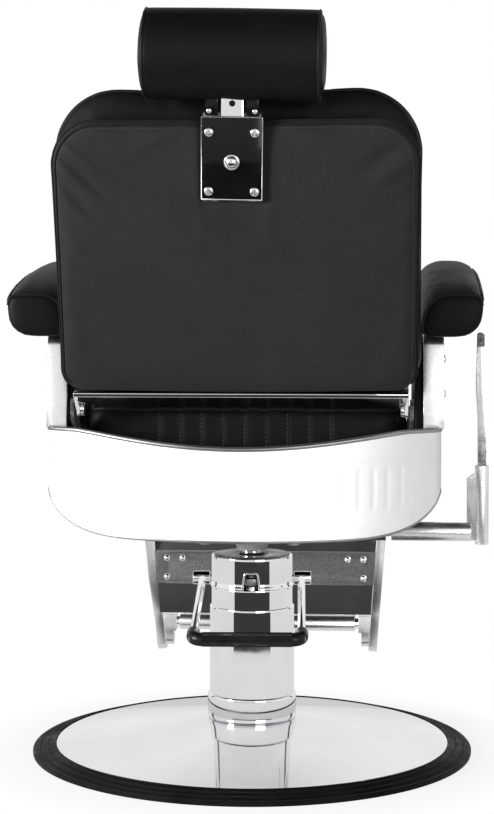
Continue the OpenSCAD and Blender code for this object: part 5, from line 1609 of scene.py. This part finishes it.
@dataclass
class Arms:
    """Polished arm frames, vinyl side panels, brackets and the padded armrests."""

    outer_x: float = 281
    crown_z: float = 655
    crown_y: float = -110
    back_y: float = 168
    droop: float = 36
    rest_in: float = 251
    rest_out: float = 336
    rest_back: float = 178
    rest_front: float = -272
    stations: int = 22

    def top(self, y: float) -> float:
        """Height of the arm frame's upper edge along the chair."""
        return self.crown_z - self.droop * ((y - self.crown_y) / (self.back_y - self.crown_y)) ** 2

    def section(self, s: float) -> list[Flat]:
        """The armrest's section at a place along it, as X and height over its base.

        Args:
            s: 1 at the ends, whose inner top corner falls away, and 0 in the middle.
        Returns:
            A closed outline in mm.
        """
        a, b = self.rest_in, self.rest_out
        a -= 3 * s
        high, low = 63 - 6 * s, -4 * s
        wide, fall = 16 + 20 * s, 24 + 28 * s
        shape = [(a + 4 + 2 * s, low + 1.5), (a + 16, low), (b - 38, low)]
        shape += [(b - 38 + 36 * sin(radians(t)), low
                   + 26 - 26 * cos(radians(t))) for t in (20, 40, 60, 80)]
        shape += [(b - 0.4, 32), (b, 42), (b - 1.5, high - 9), (b - 7, high - 1)]
        shape += [(b - 24, high + 1 - s), (a + wide + 8, high + 1 - s)]
        shape += [(a + wide * (1 - sin(radians(t))),
                   high - fall * (1 - cos(radians(t)))) for t in (10, 30, 50, 70)]
        shape += [(a, max(5.0, high - fall - 4))]
        return shape

    def armrest(self, side: Side) -> tuple[Piece, Piece]:
        """One armrest pad and its piping.

        Args:
            side: which side it is for.
        Returns:
            The pad and the piping.
        """
        BENCH.clear()
        ring = len(self.section(0.0))
        rows: list[list[Point]] = []
        for y in np.linspace(self.rest_back, self.rest_front, self.stations):
            middle = (self.rest_back + self.rest_front) / 2
            s = abs(y - middle) / (self.rest_back - middle)
            base = self.top(float(y)) + 8.6
            rows.append([(x, float(y), base + h) for x, h in self.section(s ** 5)])
        for end, way in ((0, 1), (-1, -1)):
            core = [sum(p[k] for p in rows[end]) / ring for k in (0, 2)]
            cap = [[(core[0] + (x - core[0]) * shrink, y + way * bulge,
                     core[1] + (z - core[1]) * shrink) for x, y, z in rows[end]]
                   for shrink, bulge in ((0.9, 3.0), (0.62, 5.0))]
            rows = cap[::-1] + rows if end == 0 else rows + cap
        count = len(rows)
        bpy.ops.mesh.primitive_grid_add(x_subdivisions=ring - 1, y_subdivisions=count - 1)
        pad = BENCH.named(f"armrest_cover_{side.name.lower()}")
        for vertex, place in zip(pad.data.vertices, [p for row in rows for p in row]):
            vertex.co = Vector(place) * MM
        with BENCH.editing(pad) as mesh:
            bpy.ops.mesh.select_all(action="DESELECT")
            mesh.verts.ensure_lookup_table()
            for j in (0, ring - 1):
                for k in range(count - 1):
                    mesh.edges.get((mesh.verts[k * ring + j],
                                    mesh.verts[(k + 1) * ring + j])).select_set(True)
            bpy.ops.mesh.bridge_edge_loops()
            bpy.ops.mesh.select_all(action="SELECT")
            bpy.ops.mesh.fill_holes(sides=0)
            BENCH.face_out()
        rows = rows[2:-2]
        BENCH.inflate(pad, 4.0, 4.5, pressure=3.0, calm=5)
        piping = []
        for end, push in ((0, 2), (self.stations - 1, -2)):
            outline = [(x, y + push, z) for x, y, z in rows[end][8:] + [rows[end][0]]]
            path, _ = BENCH.on_skin(pad, spaced(outline, 3.0), 0.9)
            piping.append(BENCH.swept(f"end_piping_{end}", path, 2.1))
        outer = [(row[9][0] + 3, row[9][1], row[9][2] + 3) for row in rows[1:-1]]
        path, _ = BENCH.on_skin(pad, spaced([rows[0][9]] + outer + [rows[-1][9]], 4.0), 0.9)
        piping.append(BENCH.swept("edge_piping", path, 2.1))
        welt = BENCH.joined(f"armrest_piping_{side.name.lower()}", *piping)
        if side is Side.RIGHT:
            for piece in (pad, welt):
                BENCH.smooth(BENCH.moved(piece, MIRROR), 60)
        return pad, welt

    def screws(self) -> Piece:
        """The dome screws on the outer faces of the arm frames' legs."""
        places = [aimed((side * (self.outer_x - 0.4), y, z), (side, 0, 0), 15 * k)
            for side in (-1, 1) for k, (y, z) in enumerate(((149, 591), (149, 542), (-226, 591),
            (-226, 542)))]
        return HARDWARE.spread(HARDWARE.pan_head("arm_screw", 6.2, 3.4), "arm_screws", places)

    def build(self) -> None:
        """Makes and dresses both arms."""
        for side in Side:
            word = side.name.lower()
            BENCH.dressed(f"arm_casting_{word}", f"arm_frame_{word}", "seat", ALLOY, 2.0, 3)
            panel = BENCH.dressed(f"side_cover_{word}", f"side_panel_{word}", "seat", VINYL, 2.6,
                3)
            pad, welt = self.armrest(side)
            BENCH.place(pad, "seat", VINYL, f"armrest_{word}")
            BENCH.place(welt, "seat", WELT)
        BENCH.dressed("arm_brackets", "arm_boards", "seat", BRACKET_COAT, 0.8)
        BENCH.place(self.screws(), "seat", ZINC)


# ---------- backrest


@dataclass(frozen=True)
class Fold:
    """A soft crease in a cover, from one place to another across the panel."""

    x0: float
    h0: float
    x1: float
    h1: float
    width: float
    depth: float

    def height(self, x: np.ndarray, h: np.ndarray) -> np.ndarray:
        """Relief of the fold at places on the panel, in mm."""
        ax, ay = self.x1 - self.x0, self.h1 - self.h0
        long = max(1e-6, ax * ax + ay * ay)
        t = np.clip(((x - self.x0) * ax + (h - self.h0) * ay) / long, 0, 1)
        gap = np.hypot(x - self.x0 - t * ax, h - self.h0 - t * ay)
        return self.depth * bell(gap, self.width) * np.sin(
            pi * np.clip(t, 0.06, 0.94)) ** 0.6


@dataclass
class Backrest:
    """The reclining back: hinge bar, board, rear panel with its welts, front cushion."""

    half_w: float = 248
    low: float = 35
    high: float = 407
    front_t: float = 12
    back_t: float = 34
    top_r: float = 64
    low_r: float = 34
    cushion_w: float = 250
    cushion_top: float = 441
    seams: int = 9
    pitch: float = 30.4
    folds: tuple[Fold, ...] = (
        Fold(241, 382, 172, 329, 8, 3.6), Fold(238, 366, 186, 318, 7, -2.8),
        Fold(238, 350, 180, 293, 9, 3.4), Fold(240, 330, 196, 278, 7, -2.4),
        Fold(236, 308, 190, 262, 9, 2.4), Fold(238, 254, 204, 226, 8, 2.6),
        Fold(-231, 376, -172, 340, 11, -4.2), Fold(-236, 356, -182, 318, 10, 2.8),
        Fold(-240, 318, -204, 282, 8, -1.0), Fold(-238, 250, -206, 222, 8, 0.8),
        Fold(54, 396, 47, 262, 7, 1.1), Fold(-54, 396, -47, 262, 7, 1.1),
        Fold(64, 400, 132, 372, 9, 2.4), Fold(-64, 400, -140, 376, 9, 2.4),
        Fold(36, 296, 60, 206, 10, 0.7), Fold(-36, 296, -62, 200, 10, 0.8),
        Fold(6, 292, 2, 214, 9, -0.6), Fold(236, 78, 184, 48, 9, 0.9),
        Fold(-236, 78, -184, 48, 9, 0.9), Fold(240, 160, 214, 80, 10, 0.8),
        Fold(-240, 160, -214, 80, 10, 0.8),
    )

    def panel_shape(self, points: np.ndarray, _: np.ndarray) -> np.ndarray:
        """Presses the panel flat on its board and works its folds and sag in.

        Args:
            points: the cover's points in the back's frame, in metres.
        Returns:
            The new points.
        """
        x, t, h = (points / MM).T
        rear = np.clip((t - self.front_t) / (self.back_t - self.front_t), 0, 1) ** 2
        relief = sum(fold.height(x, h) for fold in self.folds)
        swell = (1 - (np.abs(x) / self.half_w) ** 4) * (1 - np.abs(
            (h - 217) / 187) ** 4)
        t = t + rear * (relief - 1.2 + 2.4 * swell)
        plate = bell(np.maximum(0, np.abs(x) - 38), 10) * bell(
            np.maximum(0, np.abs(h - 358) - 56), 12)
        t = t - rear * plate * 3.0
        sag = 3.6 * np.clip(1 - (x / 232) ** 2, 0, 1) * np.clip(1 - (h - self.low) / 70, 0, 1)
        dip = 3.0 * bell(np.maximum(0, np.abs(x) - 30), 26) * np.clip((h - 330) / 74, 0, 1)
        narrow = 1 - (0.9 + 4.4 * (self.high - h) / (self.high - self.low)) / self.half_w
        return np.stack([x * narrow, np.maximum(t, self.front_t), h - sag - dip], 1) * MM

    def panel(self) -> Piece:
        """The padded rear panel."""
        cover = BENCH.plate("rear_panel_cover",
            rounded(self.half_w - 4, self.low + 4, self.high - 4, self.top_r - 4, self.low_r - 4),
            Axis.Y, self.front_t, self.back_t - 1, 8.0, 5)
        BENCH.inflate(cover, 4.5, 5.0, calm=6)
        BENCH.fitted(cover, (-self.half_w, self.front_t, self.low),
                     (self.half_w, self.back_t + 1.5, self.high))
        return BENCH.reshape(cover, self.panel_shape)

    def welt_path(self, grow: float, t: float) -> list[Point]:
        """A welt's line round the panel, dipping beside the headrest's plate.

        Args:
            grow: distance outside the panel's outline in mm.
            t: place through the back in mm.
        Returns:
            Points in the back's frame.
        """
        line = rounded(self.half_w + grow, self.low + 1, self.high + grow,
                       self.top_r + grow, self.low_r, 18)
        turned = line[8:-8]
        return [(x, t, h - (3.0 * float(bell(np.array(max(0.0, abs(x) - 30)), 26))
                            if h > 340 else 0.0)) for x, h in spaced(turned, 4.0)]

    def cushion(self) -> Piece:
        """The front cushion with its sewn channels."""
        pad = BENCH.plate("back_cushion_cover", rounded(
            self.cushion_w - 6, self.low + 5, self.cushion_top - 5, 86, 40, 28), Axis.Y,
            -36, -0.5, 15, 5)
        BENCH.inflate(pad, 5.5, 9)
        BENCH.fitted(pad, (-self.cushion_w + 1, -40, self.low - 1.5),
                     (self.cushion_w - 1, -0.2, self.cushion_top))
        middle, half = (self.low + self.cushion_top) / 2, (self.cushion_top - self.low) / 2

        def crown(points: np.ndarray, _: np.ndarray) -> np.ndarray:
            """Swells the front towards its middle."""
            x, t, h = (points / MM).T
            dome = (1 - np.abs(x / self.cushion_w) ** 3) * (1 - np.abs((h - middle) / half) ** 3)
            return np.stack([x, t - 12 * np.clip(dome, 0, 1) * np.clip(-t / 40, 0, 1), h], 1) * MM

        BENCH.reshape(pad, crown)

        def sew(points: np.ndarray, normals: np.ndarray) -> np.ndarray:
            """Sinks the channels on the front and a little over the top."""
            x, _, h = (points / MM).T
            near = seam_gap(x, self.seams, self.pitch)
            groove = bell(near, 4.0) * 5.0 + bell(near, 11.0) * 1.8
            face = np.clip((-normals[:, 1] - 0.2) / 0.5, 0, 1)
            over = np.clip((normals[:, 2] - 0.3) / 0.4, 0, 1) * 0.25
            pucker = 0.5 * np.sin(h / 11 + np.sin(x / 17) * 2) * bell(near - 9, 6)
            return points - normals * (groove * np.maximum(face, over)
                + pucker * face)[:, None] * MM

        return BENCH.reshape(pad, sew)

    def hinge(self) -> None:
        """The chrome hinge bar with its ears, the pins, brackets and bolts."""
        BENCH.dressed("hinge_bar_chrome", "hinge_bar", "back", CHROME, 1.2, 3)
        BENCH.dressed("bracket_coated", "hinge_brackets", "seat", ENAMEL, 1.0)
        BENCH.dressed("pins_dressed", "hinge_pins", "seat", ZINC, 0.8)
        places = [BACK @ aimed((x * 194, 4, 25.0), (0, 0, -1), 20 * x) for x in (-1, 1)]
        heads = HARDWARE.spread(HARDWARE.dome_head("bar_head", 6.1, 5.0), "bar_bolt_heads", places)
        BENCH.place(heads, "back", ZINC, "bar_bolts")

    def build(self) -> None:
        """Makes and dresses the back."""
        self.hinge()
        board = BENCH.moved(BENCH.copied("back_plywood", "back_board", 1.0), BACK.inverted())
        BENCH.fitted(board, (-236, 0.2, 42), (236, 11.8, 394))
        BENCH.place(BENCH.moved(board, BACK), "back", BOARD_BLACK, "back_board")
        panel = self.panel()
        line = [(x, self.back_t + 2, h) for x, h in rounded(
            self.half_w - 8, self.low + 8, self.high - 8, self.top_r - 8, self.low_r - 8)[8:-8]]
        rows = [BENCH.on_skin(panel, spaced(line, 3.0), 0.1)]
        stitches = BENCH.stitches("panel_stitches", rows, 5.0, 3.0, 0.45)
        welts = [BENCH.swept(f"welt_{k}", BENCH.on_skin(panel, self.welt_path(grow, t), 0.7)[0],
            1.5) for k, (grow, t) in enumerate(((-2.2, 37.0), (1.0, 26.0)))]
        cushion = self.cushion()
        seams = []
        for k in range(-(self.seams // 2), self.seams // 2 + 1):
            line = [(k * self.pitch, -60.0, float(h))
                    for h in range(int(self.low) + 12, int(self.cushion_top) - 8, 8)]
            seams.append(BENCH.on_skin(cushion, spaced(line, 3.0), 0.1))
        threads = BENCH.stitches("back_stitches", seams, 6.0, 3.8, 0.6)
        edge = [(x, -26.0, h) for x, h in rounded(self.cushion_w - 1, self.low + 1,
            self.cushion_top - 1, 86, self.low_r)]
        path, _ = BENCH.on_skin(cushion, spaced(edge, 5.0, True), 0.6)
        piping = BENCH.swept("back_piping", path, 2.6, True)
        for piece, finish, nodes in ((panel, LIT_PANEL_VINYL, ("back_panel",)),
                (cushion, VINYL, ("back_cushion",)), (stitches, THREAD, ()), (threads, THREAD, ()),
                (BENCH.joined("panel_welts", *welts), WELT, ()), (piping, WELT, ())):
            BENCH.place(BENCH.moved(piece, PADDED_BACK), "back", finish, *nodes)


# ---------- headrest


@dataclass
class Headrest:
    """The roll on its slide bar, the guide, the lock plate and the release button."""

    roll_r: float = 62
    half_l: float = 121
    centre_h: float = 494
    centre_t: float = 33
    plate_w: float = 83
    plate_h: float = 112
    plate_mid: float = 358
    lock_mid: float = 353.5
    screw_x: float = 30.5
    screw_h: float = 39.4

    def roll_shape(self, points: np.ndarray, normals: np.ndarray) -> np.ndarray:
        """Draws the ends in at their piping and rumples the roll's underside."""
        x, t, h = (points / MM).T
        reach = np.hypot(t - self.centre_t, h - self.centre_h)
        seam = bell(np.abs(x) - (self.half_l - 4), 3.2) * np.clip((reach - 40) / 15, 0, 1)
        under = np.clip((self.centre_h - h) / self.roll_r, 0, 1) ** 3
        rumple = 0.9 * np.sin(x / 15 + 1.3 * np.sin(x / 37)) * bell(x, 90) * under
        flat = 2.6 * under * bell(x, 70)
        return points - normals * (seam * 1.6 + rumple + flat)[:, None] * MM

    def roll(self) -> Piece:
        """The padded roll."""
        r, half = self.roll_r - 2, self.half_l - 2
        ends = [(0, -half - 3)] + [(r * k / 6, -half - 3 + 3 * (k / 6) ** 2) for k in range(1, 6)]
        body = [(r - 5, -half + 0.6), (r - 1.4, -half + 2.4), (r, -half + 6)]
        body += [(r + 0.8 * sin(pi * k / 8), -half + 6 + (2 * half - 12) * k / 8)
                 for k in range(1, 8)]
        profile = ends + body + [(a, -b) for a, b in reversed(ends + body[:3])]
        roll = BENCH.turned("headrest_cover", profile, 96)
        turn = Matrix.Rotation(radians(90), 4, "Y")
        shift = Matrix.Translation(Vector((0, self.centre_t, self.centre_h)) * MM)
        BENCH.moved(roll, shift @ turn)
        BENCH.inflate(roll, 4.5, 3.0, pressure=3.0, calm=3)
        return BENCH.reshape(roll, self.roll_shape)

    def lock(self) -> tuple[Piece, Piece]:
        """The gloss plate and the four screws; the bright line round the plate's edge, a painted
        highlight, is made in build.
        """
        plate = BENCH.block("lock_plate_gloss",
            (-self.plate_w / 2, 41.2, self.plate_mid - self.plate_h / 2),
            (self.plate_w / 2, 43.7, self.plate_mid + self.plate_h / 2), 0.9, 2)
        places = [aimed((x * self.screw_x, 43.7, self.lock_mid + h * self.screw_h),
                        (0, 1, 0), 17 + 31 * x + 12 * h) for x in (-1, 1) for h in (-1, 1)]
        heads = HARDWARE.spread(HARDWARE.pan_head("lock_screw", 6.5, 3.2), "lock_screw_heads",
            places)
        return plate, heads

    def slide(self) -> Piece:
        """The slide bar with its row of latch holes and the notch at its top."""
        bar = BENCH.block("slide_chrome", (-14.8, 36.4, 302), (14.8, 41.0, 476), 0.7)
        holes = []
        for k in range(6):
            hole = BENCH.turned(f"latch_{k}", [(0, -9), (4.5, -9), (4.5, 9), (0, 9)], 32)
            holes.append(BENCH.moved(hole, aimed((0, 38.6, 314 + 16 * k), (0, 1, 0))))
        return BENCH.smooth(BENCH.carve(bar, *holes), 30)

    def cheeks(self) -> Piece:
        """The two black plates beside the slide bar that carry the roll."""
        cheek = BENCH.block("cheek", (18.5, 41.3, 415), (35.5, 43.8, 446), 0.8)
        top = BENCH.block("cheek_top", (18.5, 41.3, 430), (35.5, 43.2, 450), 0.6)
        return BENCH.both(BENCH.joined("cheek_side", cheek, top), "headrest_cheeks")

    def button(self) -> tuple[Piece, Piece]:
        """The domed release button and its ring."""
        ring = BENCH.turned("button_ring", [
            (7.6, 0), (11, 0), (11, 0.7), (10.7, 2.2), (10.0, 3.2), (9.0, 3.5), (8.1, 3.3),
            (7.6, 2.7)], 64, True)
        dome = BENCH.turned("button_dome", [
            (0, 0), (7.4, 0), (7.4, 1.6), (7.2, 2.3), (6.5, 3.4), (5.3, 4.3), (3.7, 4.9),
            (1.9, 5.3), (0, 5.4)], 64)
        for piece, t in ((ring, 43.7), (dome, 47.0)):
            BENCH.moved(piece, aimed((0, t, self.lock_mid), (0, 1, 0)))
        return ring, dome

    def build(self) -> None:
        """Makes and dresses the headrest and its lock."""
        roll = self.roll()
        rings = []
        for side in (-1, 1):
            circle = [(side * (self.half_l - 2.5), self.centre_t + self.roll_r * cos(tau * k / 96),
                self.centre_h + self.roll_r * sin(tau * k / 96)) for k in range(96)]
            path, _ = BENCH.on_skin(roll, circle, 0.3)
            rings.append(BENCH.swept(f"roll_piping_{side}", path, 2.2, True))
        plate, heads = self.lock()
        ring, dome = self.button()
        small = HARDWARE.spread(
            HARDWARE.pan_head("cheek_screw", 3.6, 1.8), "cheek_screws",
            [aimed((x * 30.5, 43.8, 421), (0, 1, 0), 25 * x) for x in (-1, 1)])
        guide = BENCH.copied("guide_coated", "guide_bracket", 0.4)
        BENCH.moved(guide, BACK.inverted())
        pin = BENCH.turned("stop_pin", [(0, 0), (4.2, 0), (4.2, 1.2), (3.4, 2.0), (0, 2.2)], 32)
        BENCH.moved(pin, aimed((0, 41.0, 431), (0, 1, 0)))
        # A thin bright zinc frame just inside the plate's edge: a painted highlight for the light
        # its bevel catches.
        edge, tall = self.plate_w / 2 - 0.5, self.plate_h / 2 - 0.5
        line = BENCH.block("plate_edge_highlight", (-edge, 43.5, self.plate_mid - tall),
                           (edge, 43.74, self.plate_mid + tall))
        inner = BENCH.block("plate_window", (1 - edge, 42, self.plate_mid - tall + 1),
                            (edge - 1, 45, self.plate_mid + tall - 1))
        BENCH.carve(line, inner)
        for piece, body, finish, nodes in ((roll, "headrest", VINYL, ("headrest_roll",)),
                (BENCH.joined("roll_piping", *rings), "headrest", WELT, ()),
                (self.slide(), "headrest", CHROME, ("slide_bar",)),
                (self.cheeks(), "headrest", PLATE_BLACK, ("headrest_bracket",)),
                (small, "headrest", ZINC, ()), (pin, "headrest", PLATE_BLACK, ()),
                (guide, "back", ENAMEL, ("guide_bracket",)),
                (plate, "back", PLATE_BLACK, ("lock_plate",)), (line, "back", ZINC, ()),
                (heads, "back", ZINC, ("lock_screws",)), (ring, "back", CHROME, ("button_bezel",)),
                (dome, "button", ZINC, ("release_button",))):
            BENCH.place(BENCH.moved(piece, LOCKED), body, finish, *nodes)


# ---------- recline lever


@dataclass
class ReclineLever:
    """The cross shaft, the gusseted socket and the upright bar with its dull tip."""

    def build(self) -> None:
        """Makes and dresses the lever."""
        for node, body, finish, ease in (
                ("lever_bearing", "seat", ENAMEL, 0.8), ("lever_shaft", "lever", ALLOY, 0.8),
                ("lever_socket", "lever", ALLOY, 1.6), ("lever_bar", "lever", LEVER_ALLOY, 1.6)):
            BENCH.dressed(node + "_dressed", node, body, finish, ease, 3)


# ---------- legrest


@dataclass
class Legrest:
    """The swinging legrest: cast arms, channel, calf board and pad, tube and footplate."""

    calf_y: float = -306
    calf_low: float = 148
    calf_top: float = 318
    calf_half: float = 176
    board_top: float = 333
    pad_front: float = -344

    def inner_x(self, z: float) -> float:
        """Half the clear width between the arms at a height."""
        return 170.3 + (z - 76) * 0.0725

    def calf(self) -> tuple[Piece, Piece]:
        """The painted calf board and the pad on it."""
        low, high = self.inner_x(self.calf_low), self.inner_x(self.board_top)
        board = BENCH.plate("calf_board", [(-low, self.calf_low), (low, self.calf_low),
            (high, self.board_top), (-high, self.board_top)], Axis.Y, self.calf_y,
            self.calf_y - 12, 1.2)
        pad = BENCH.copied("calf_cover", "calf_pad", 0, tidy=0)
        BENCH.fitted(pad, (-self.calf_half + 4, self.pad_front + 4, self.calf_low + 4),
                     (self.calf_half - 4, self.calf_y - 11, self.calf_top - 4))
        BENCH.inflate(pad, 5.0, 8)
        BENCH.fitted(pad, (-self.calf_half, self.pad_front, self.calf_low),
                     (self.calf_half, self.calf_y - 11.5, self.calf_top))
        return board, pad

    def bolts(self) -> Piece:
        """The chrome dome bolts that hold the channel to the arms."""
        places = [aimed((side * x, -303, z), (0, 1, 0), 10)
                  for side in (-1, 1) for x, z in ((163, 240), (137, 240), (163, 209))]
        return HARDWARE.spread(HARDWARE.dome_head("leg_bolt", 4.6, 4.0), "leg_bolts", places)

    def build(self) -> None:
        """Makes and dresses the legrest and the footplate."""
        known = len(bpy.context.scene.objects)
        for node, body, finish, ease in (("leg_pins", "seat", ZINC, 0.8),
                ("leg_arms", "legrest", ALLOY, 1.6), ("foot_tube", "legrest", CHROME, 0.8),
                ("footplate", "footplate", ALLOY, 1.0)):
            BENCH.dressed(node + "_dressed", node, body, finish, ease, 3)
        channel = BENCH.copied("channel_hammered", "leg_channel", 0.5)
        shelf = BENCH.block("channel_shelf", (-166, -306, 250.4), (166, -296, 252.6), 0.6)
        lip = BENCH.block("channel_lip", (-164, -306, 197.6), (164, -300, 200), 0.6)
        BENCH.place(BENCH.joined("channel_pressed", channel, shelf, lip), "legrest", CHANNEL,
                    "leg_channel")
        BENCH.place(self.bolts(), "legrest", ZINC)
        board, pad = self.calf()
        BENCH.place(board, "legrest", BOARD_BLACK)
        BENCH.place(pad, "legrest", VINYL, "calf_pad")
        edge = [(x, self.calf_y - 14, z) for x, z in rounded(
            self.calf_half - 1, self.calf_low + 1, self.calf_top - 1, 20, 20)]
        path, _ = BENCH.on_skin(pad, spaced(edge, 5.0, True), 0.5)
        BENCH.place(BENCH.swept("calf_piping", path, 2.3, True), "legrest", WELT)
        for piece in bpy.context.scene.objects[known:]:
            piece.visible_glossy = False


# ---------- studio


@dataclass
class Studio:
    """The pale floor, the soft lights, the dark flags and the camera."""

    distance: float = 2.8681
    height: float = 0.7060
    turn: float = 4.0
    pitch: float = -1.48
    lens: float = 84.92
    shift_x: float = -0.0062
    shift_y: float = -0.0983
    floor_r: float = 14.0

    def camera(self) -> None:
        """Sets the camera."""
        lens = bpy.data.cameras.new("studio_camera")
        lens.lens, lens.sensor_width = self.lens, 36.0
        lens.shift_x, lens.shift_y = self.shift_x, self.shift_y
        camera = BENCH.put("studio_camera", lens)
        a = radians(180 + self.turn)
        camera.location = (sin(a) * self.distance, -cos(a) * self.distance, self.height)
        p = radians(self.pitch)
        gaze = Vector((-sin(a) * cos(p), cos(a) * cos(p), sin(p)))
        self.point(camera, gaze)
        bpy.context.scene.camera = camera

    def point(self, piece: Piece, way: Vector) -> None:
        """Turns a lamp or a camera along a direction."""
        piece.rotation_mode = "QUATERNION"
        piece.rotation_quaternion = way.to_track_quat("-Z", "Y")

    def floor(self) -> None:
        """A pale floor that fades into the white background away from the chair."""
        BENCH.clear()
        bpy.ops.mesh.primitive_circle_add(vertices=96, radius=self.floor_r, fill_type="NGON")
        floor = BENCH.named("studio_floor")
        with BENCH.editing(floor):
            bpy.ops.mesh.inset(thickness=self.floor_r * 0.6)
        floor.data.materials.append(painted("Pale floor", self.floor_paint))

    def floor_paint(self, s: ShaderBench) -> Node:
        """Pale paint near the chair, and white light further out."""
        reach = s.node("ShaderNodeVectorMath", {0: s.place()}, operation="LENGTH")
        far = s.spread(reach.outputs["Value"], 0.33, 0.46, 0.86, 1.0)
        path = s.node("ShaderNodeLightPath").outputs
        seen = s.maths("MAXIMUM", path["Is Camera Ray"], path["Is Glossy Ray"])
        glow = s.spread(path["Is Camera Ray"], 0.0, 1.0, 0.78, 1.0)
        paint = s.node("ShaderNodeBsdfDiffuse", {"Color": (0.97, 0.97, 0.97, 1)})
        white = s.node("ShaderNodeEmission", {"Color": (1, 1, 1, 1), "Strength": glow})
        return s.mixed(s.times(far, seen), paint, white)

    def world(self) -> None:
        """White to the lens and to bright metal near the horizon, plain grey light."""
        world = bpy.data.worlds.new("studio_world")
        bpy.context.scene.world = world
        world.use_nodes = True
        world.node_tree.nodes.clear()
        s = ShaderBench(world.node_tree)
        path = s.node("ShaderNodeLightPath").outputs
        up = s.height(s.node("ShaderNodeTexCoord").outputs["Generated"])
        ceiling = s.spread(up, 0.45, 0.80, 0.92, 0.04)
        white, mirror, light = (
            s.node("ShaderNodeBackground", {"Color": (1, 1, 1, 1), "Strength": strength})
            for strength in (1.0, ceiling, 0.12))
        sky = s.mixed(path["Is Camera Ray"], s.mixed(path["Is Glossy Ray"], light, mirror), white)
        s.node("ShaderNodeOutputWorld", {0: sky.outputs[0]})

    def lamp(self, name: str, place: Point, size: float, watts: float) -> None:
        """A soft square lamp that faces the chair.

        Args:
            name: name of the lamp.
            place: its place in metres.
            size: its side in metres.
            watts: its power.
        """
        data = bpy.data.lights.new(name, "AREA")
        data.size, data.energy = size, watts
        lamp = BENCH.put(name, data)
        lamp.location = place
        self.point(lamp, Vector((0, 0, 0.5)) - Vector(place))

    def dark_sector(self) -> None:
        """A dark sector laid on the floor before the lens, which only metal mirrors."""
        a = 180 + self.turn + 90
        outline = [polar(r, a - 180 + turn)
                   for r, turns in ((850, range(-50, 51, 5)), (2450, range(50, -51, -5)))
                   for turn in turns]
        card = BENCH.plate("floor_dark_sector", outline, Axis.Z, 1.0, 2.0)
        self.mirrored_only(card, "Black card", 0.045)

    def side_card(self, side: int) -> None:
        """A narrow grey card far out to one side, which only metal mirrors.

        Args:
            side: 1 or -1, the side of the camera's direction.
        """
        x, y = polar(2200, 90 + self.turn + side * 122)
        card = BENCH.block(f"side_card_{side}", (x - 130, y - 130, 0), (x + 130, y + 130, 1500))
        self.mirrored_only(card, "Grey card", 0.12)

    def mirrored_only(self, card: Piece, paint: str, shade: float) -> None:
        """Paints a card for the stage and hides it from all but mirroring metal.

        Args:
            card: the card.
            paint: name of its paint.
            shade: the paint's brightness.
        """
        card.visible_camera = card.visible_diffuse = card.visible_shadow = False
        card.data.materials.append(painted(paint, lambda s: s.node(
            "ShaderNodeEmission", {"Color": (shade, shade, shade, 1)})))

    def build(self) -> None:
        """Sets the stage."""
        bpy.context.scene.view_settings.view_transform = "Standard"
        self.camera()
        self.floor()
        self.world()
        self.lamp("key", (3.4, 2.4, 1.25), 1.2, 215)
        self.lamp("fill", (-1.6, 3.2, 0.8), 1.6, 42)
        self.dark_sector()
        for side in (-1, 1):
            self.side_card(side)


# ---------- the chair


def main() -> None:
    """Builds and dresses the chair."""
    logging.basicConfig(level=logging.INFO, format="%(message)s")
    Studio().build()
    for assembly in (BaseAndColumn(), FootPedal(), SeatFrame(), SeatPan(), SeatCushion(),
                     Arms(), Backrest(), Headrest(), ReclineLever(), Legrest()):
        LOG.info("building %s", type(assembly).__name__)
        assembly.build()
    BENCH.clear()


if __name__ == "__main__":
    main()
